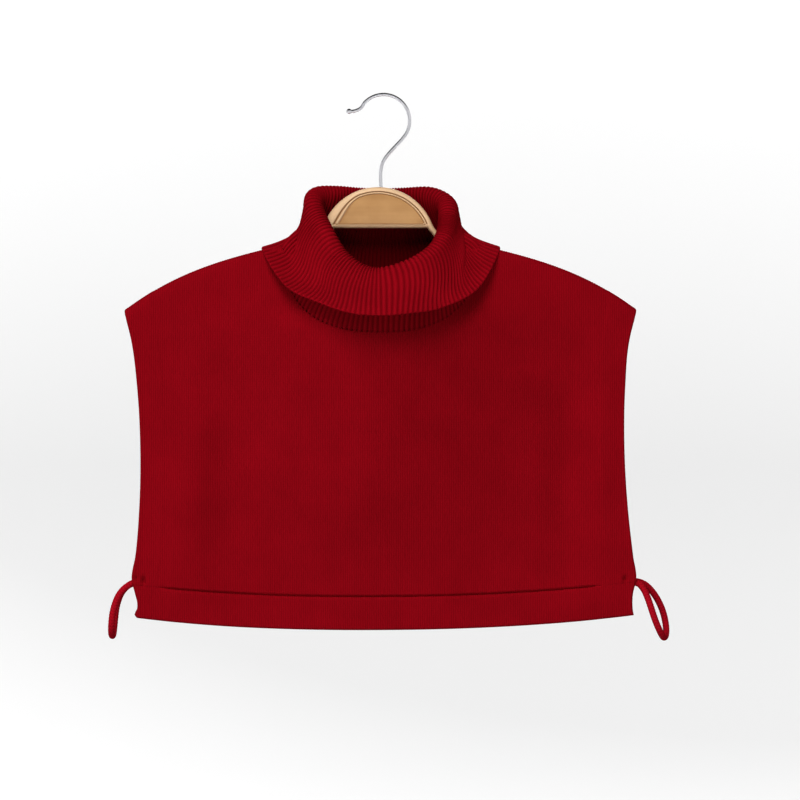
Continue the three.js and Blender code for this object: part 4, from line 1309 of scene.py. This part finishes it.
class WARMER_OT_collar(bpy.types.Operator):
    """Make the ribbed roll collar, and the ends of its ribs along the neck seam"""

    bl_idname = "warmer.collar"
    bl_label = "Roll collar"

    def execute(self, context):
        settings = context.scene.warmer_collar
        material = knit_finish("One by one rib knit", settings, collar_stitches(settings),
                               BUMPS["rib"], "inside")
        columns = settings.ribs * RIB_COLUMNS
        grid, turns, shares = collar_grid(settings, columns)
        normal = ring_normals(grid)
        grid = grid + normal * crease_lift(grid, turns, shares)[..., None]
        normal = ring_normals(grid)
        length = run_length(grid)
        radius = settings.cloth / 2
        share = rim_share(length, BLUNT_EDGE) * rim_share(length[-1] - length, radius)
        points, faces, rim = shell(grid, normal, radius * share, ring=True)
        rib = np.broadcast_to(np.arange(columns) / RIB_COLUMNS, share.shape)
        phase = np.concatenate([rib.ravel(), rib[~rim] + 0.5])
        depth = np.concatenate([share.ravel(), share[~rim]])
        # Painted shade on the neck side of the tube and roll, none on the wall's other face
        painted_neck_shade = np.broadcast_to(smooth(-PAINTED_SHADE_REACH * shares[:, None]), share.shape)
        inside = np.concatenate([painted_neck_shade.ravel(), 0 * painted_neck_shade[~rim]])
        piece = new_piece("rib_collar", points, faces, material, uv=self.knit_map(length),
                          attributes={"phase": phase, "share": depth, "inside": inside})
        apply_tree(piece, relief_tree(), Height=settings.rib_height,
                   Sharpness=RIDGE_POWER["rib"], Material=material)
        place_piece(piece, "rib", "roll_collar")
        yarn = knit_finish("Linking yarn", settings, yarn_fibres, BUMPS["yarn"])
        on_ribs = (grid - normal * RIB_TIP["out"])[:, ::RIB_COLUMNS]
        along = unit(on_ribs[RIB_TIP_LIES_TO] - on_ribs[0])
        tips = stitched("rib_tips", on_ribs[0], along, yarn, RIB_TIP)
        place_piece(tips, "rib")
        return {"FINISHED"}

    def knit_map(self, length):
        """UV of each quad's corners: ribs counted round the collar, and metres along each rib."""
        length = ringed(length)
        ribs = np.broadcast_to(np.arange(length.shape[1]) / RIB_COLUMNS, length.shape)
        flat = np.stack([ribs, length], axis=-1).reshape(-1, 2)
        corners = quads(np.arange(len(flat)).reshape(length.shape))
        return np.concatenate([flat[corners], flat[corners[:, ::-1]] + (0.5, 0)])


class WARMER_PT_sidebar(bpy.types.Panel):
    """Sizes, colours and makers of the neck warmer's pieces"""

    bl_idname = "WARMER_PT_sidebar"
    bl_label = "Neck warmer"
    bl_space_type = "VIEW_3D"
    bl_region_type = "UI"
    bl_category = "Neck warmer"

    def draw(self, context):
        for name, _, operator in MAKERS:
            column = self.layout.column()
            column.operator(operator.bl_idname)
            settings = getattr(context.scene, name)
            for key in settings.bl_rna.properties.keys():
                if key not in {"rna_type", "name"}:
                    column.prop(settings, key)


MAKERS = [
    ("warmer_stage", StageSettings, WARMER_OT_stage),
    ("warmer_loops", LoopSettings, WARMER_OT_loops),
    ("warmer_hanger", HangerSettings, WARMER_OT_hanger),
    ("warmer_panels", PanelSettings, WARMER_OT_panels),
    ("warmer_collar", CollarSettings, WARMER_OT_collar),
]


def register():
    for name, settings, operator in MAKERS:
        bpy.utils.register_class(settings)
        setattr(bpy.types.Scene, name, PointerProperty(type=settings))
        bpy.utils.register_class(operator)
    bpy.utils.register_class(WARMER_PT_sidebar)


def unregister():
    bpy.utils.unregister_class(WARMER_PT_sidebar)
    for name, settings, operator in reversed(MAKERS):
        bpy.utils.unregister_class(operator)
        delattr(bpy.types.Scene, name)
        bpy.utils.unregister_class(settings)


def main():
    register()
    bpy.ops.warmer.stage()
    bpy.ops.warmer.loops()
    bpy.ops.warmer.hanger()
    bpy.ops.warmer.panels()
    bpy.ops.warmer.collar()


if __name__ == "__main__":
    main()
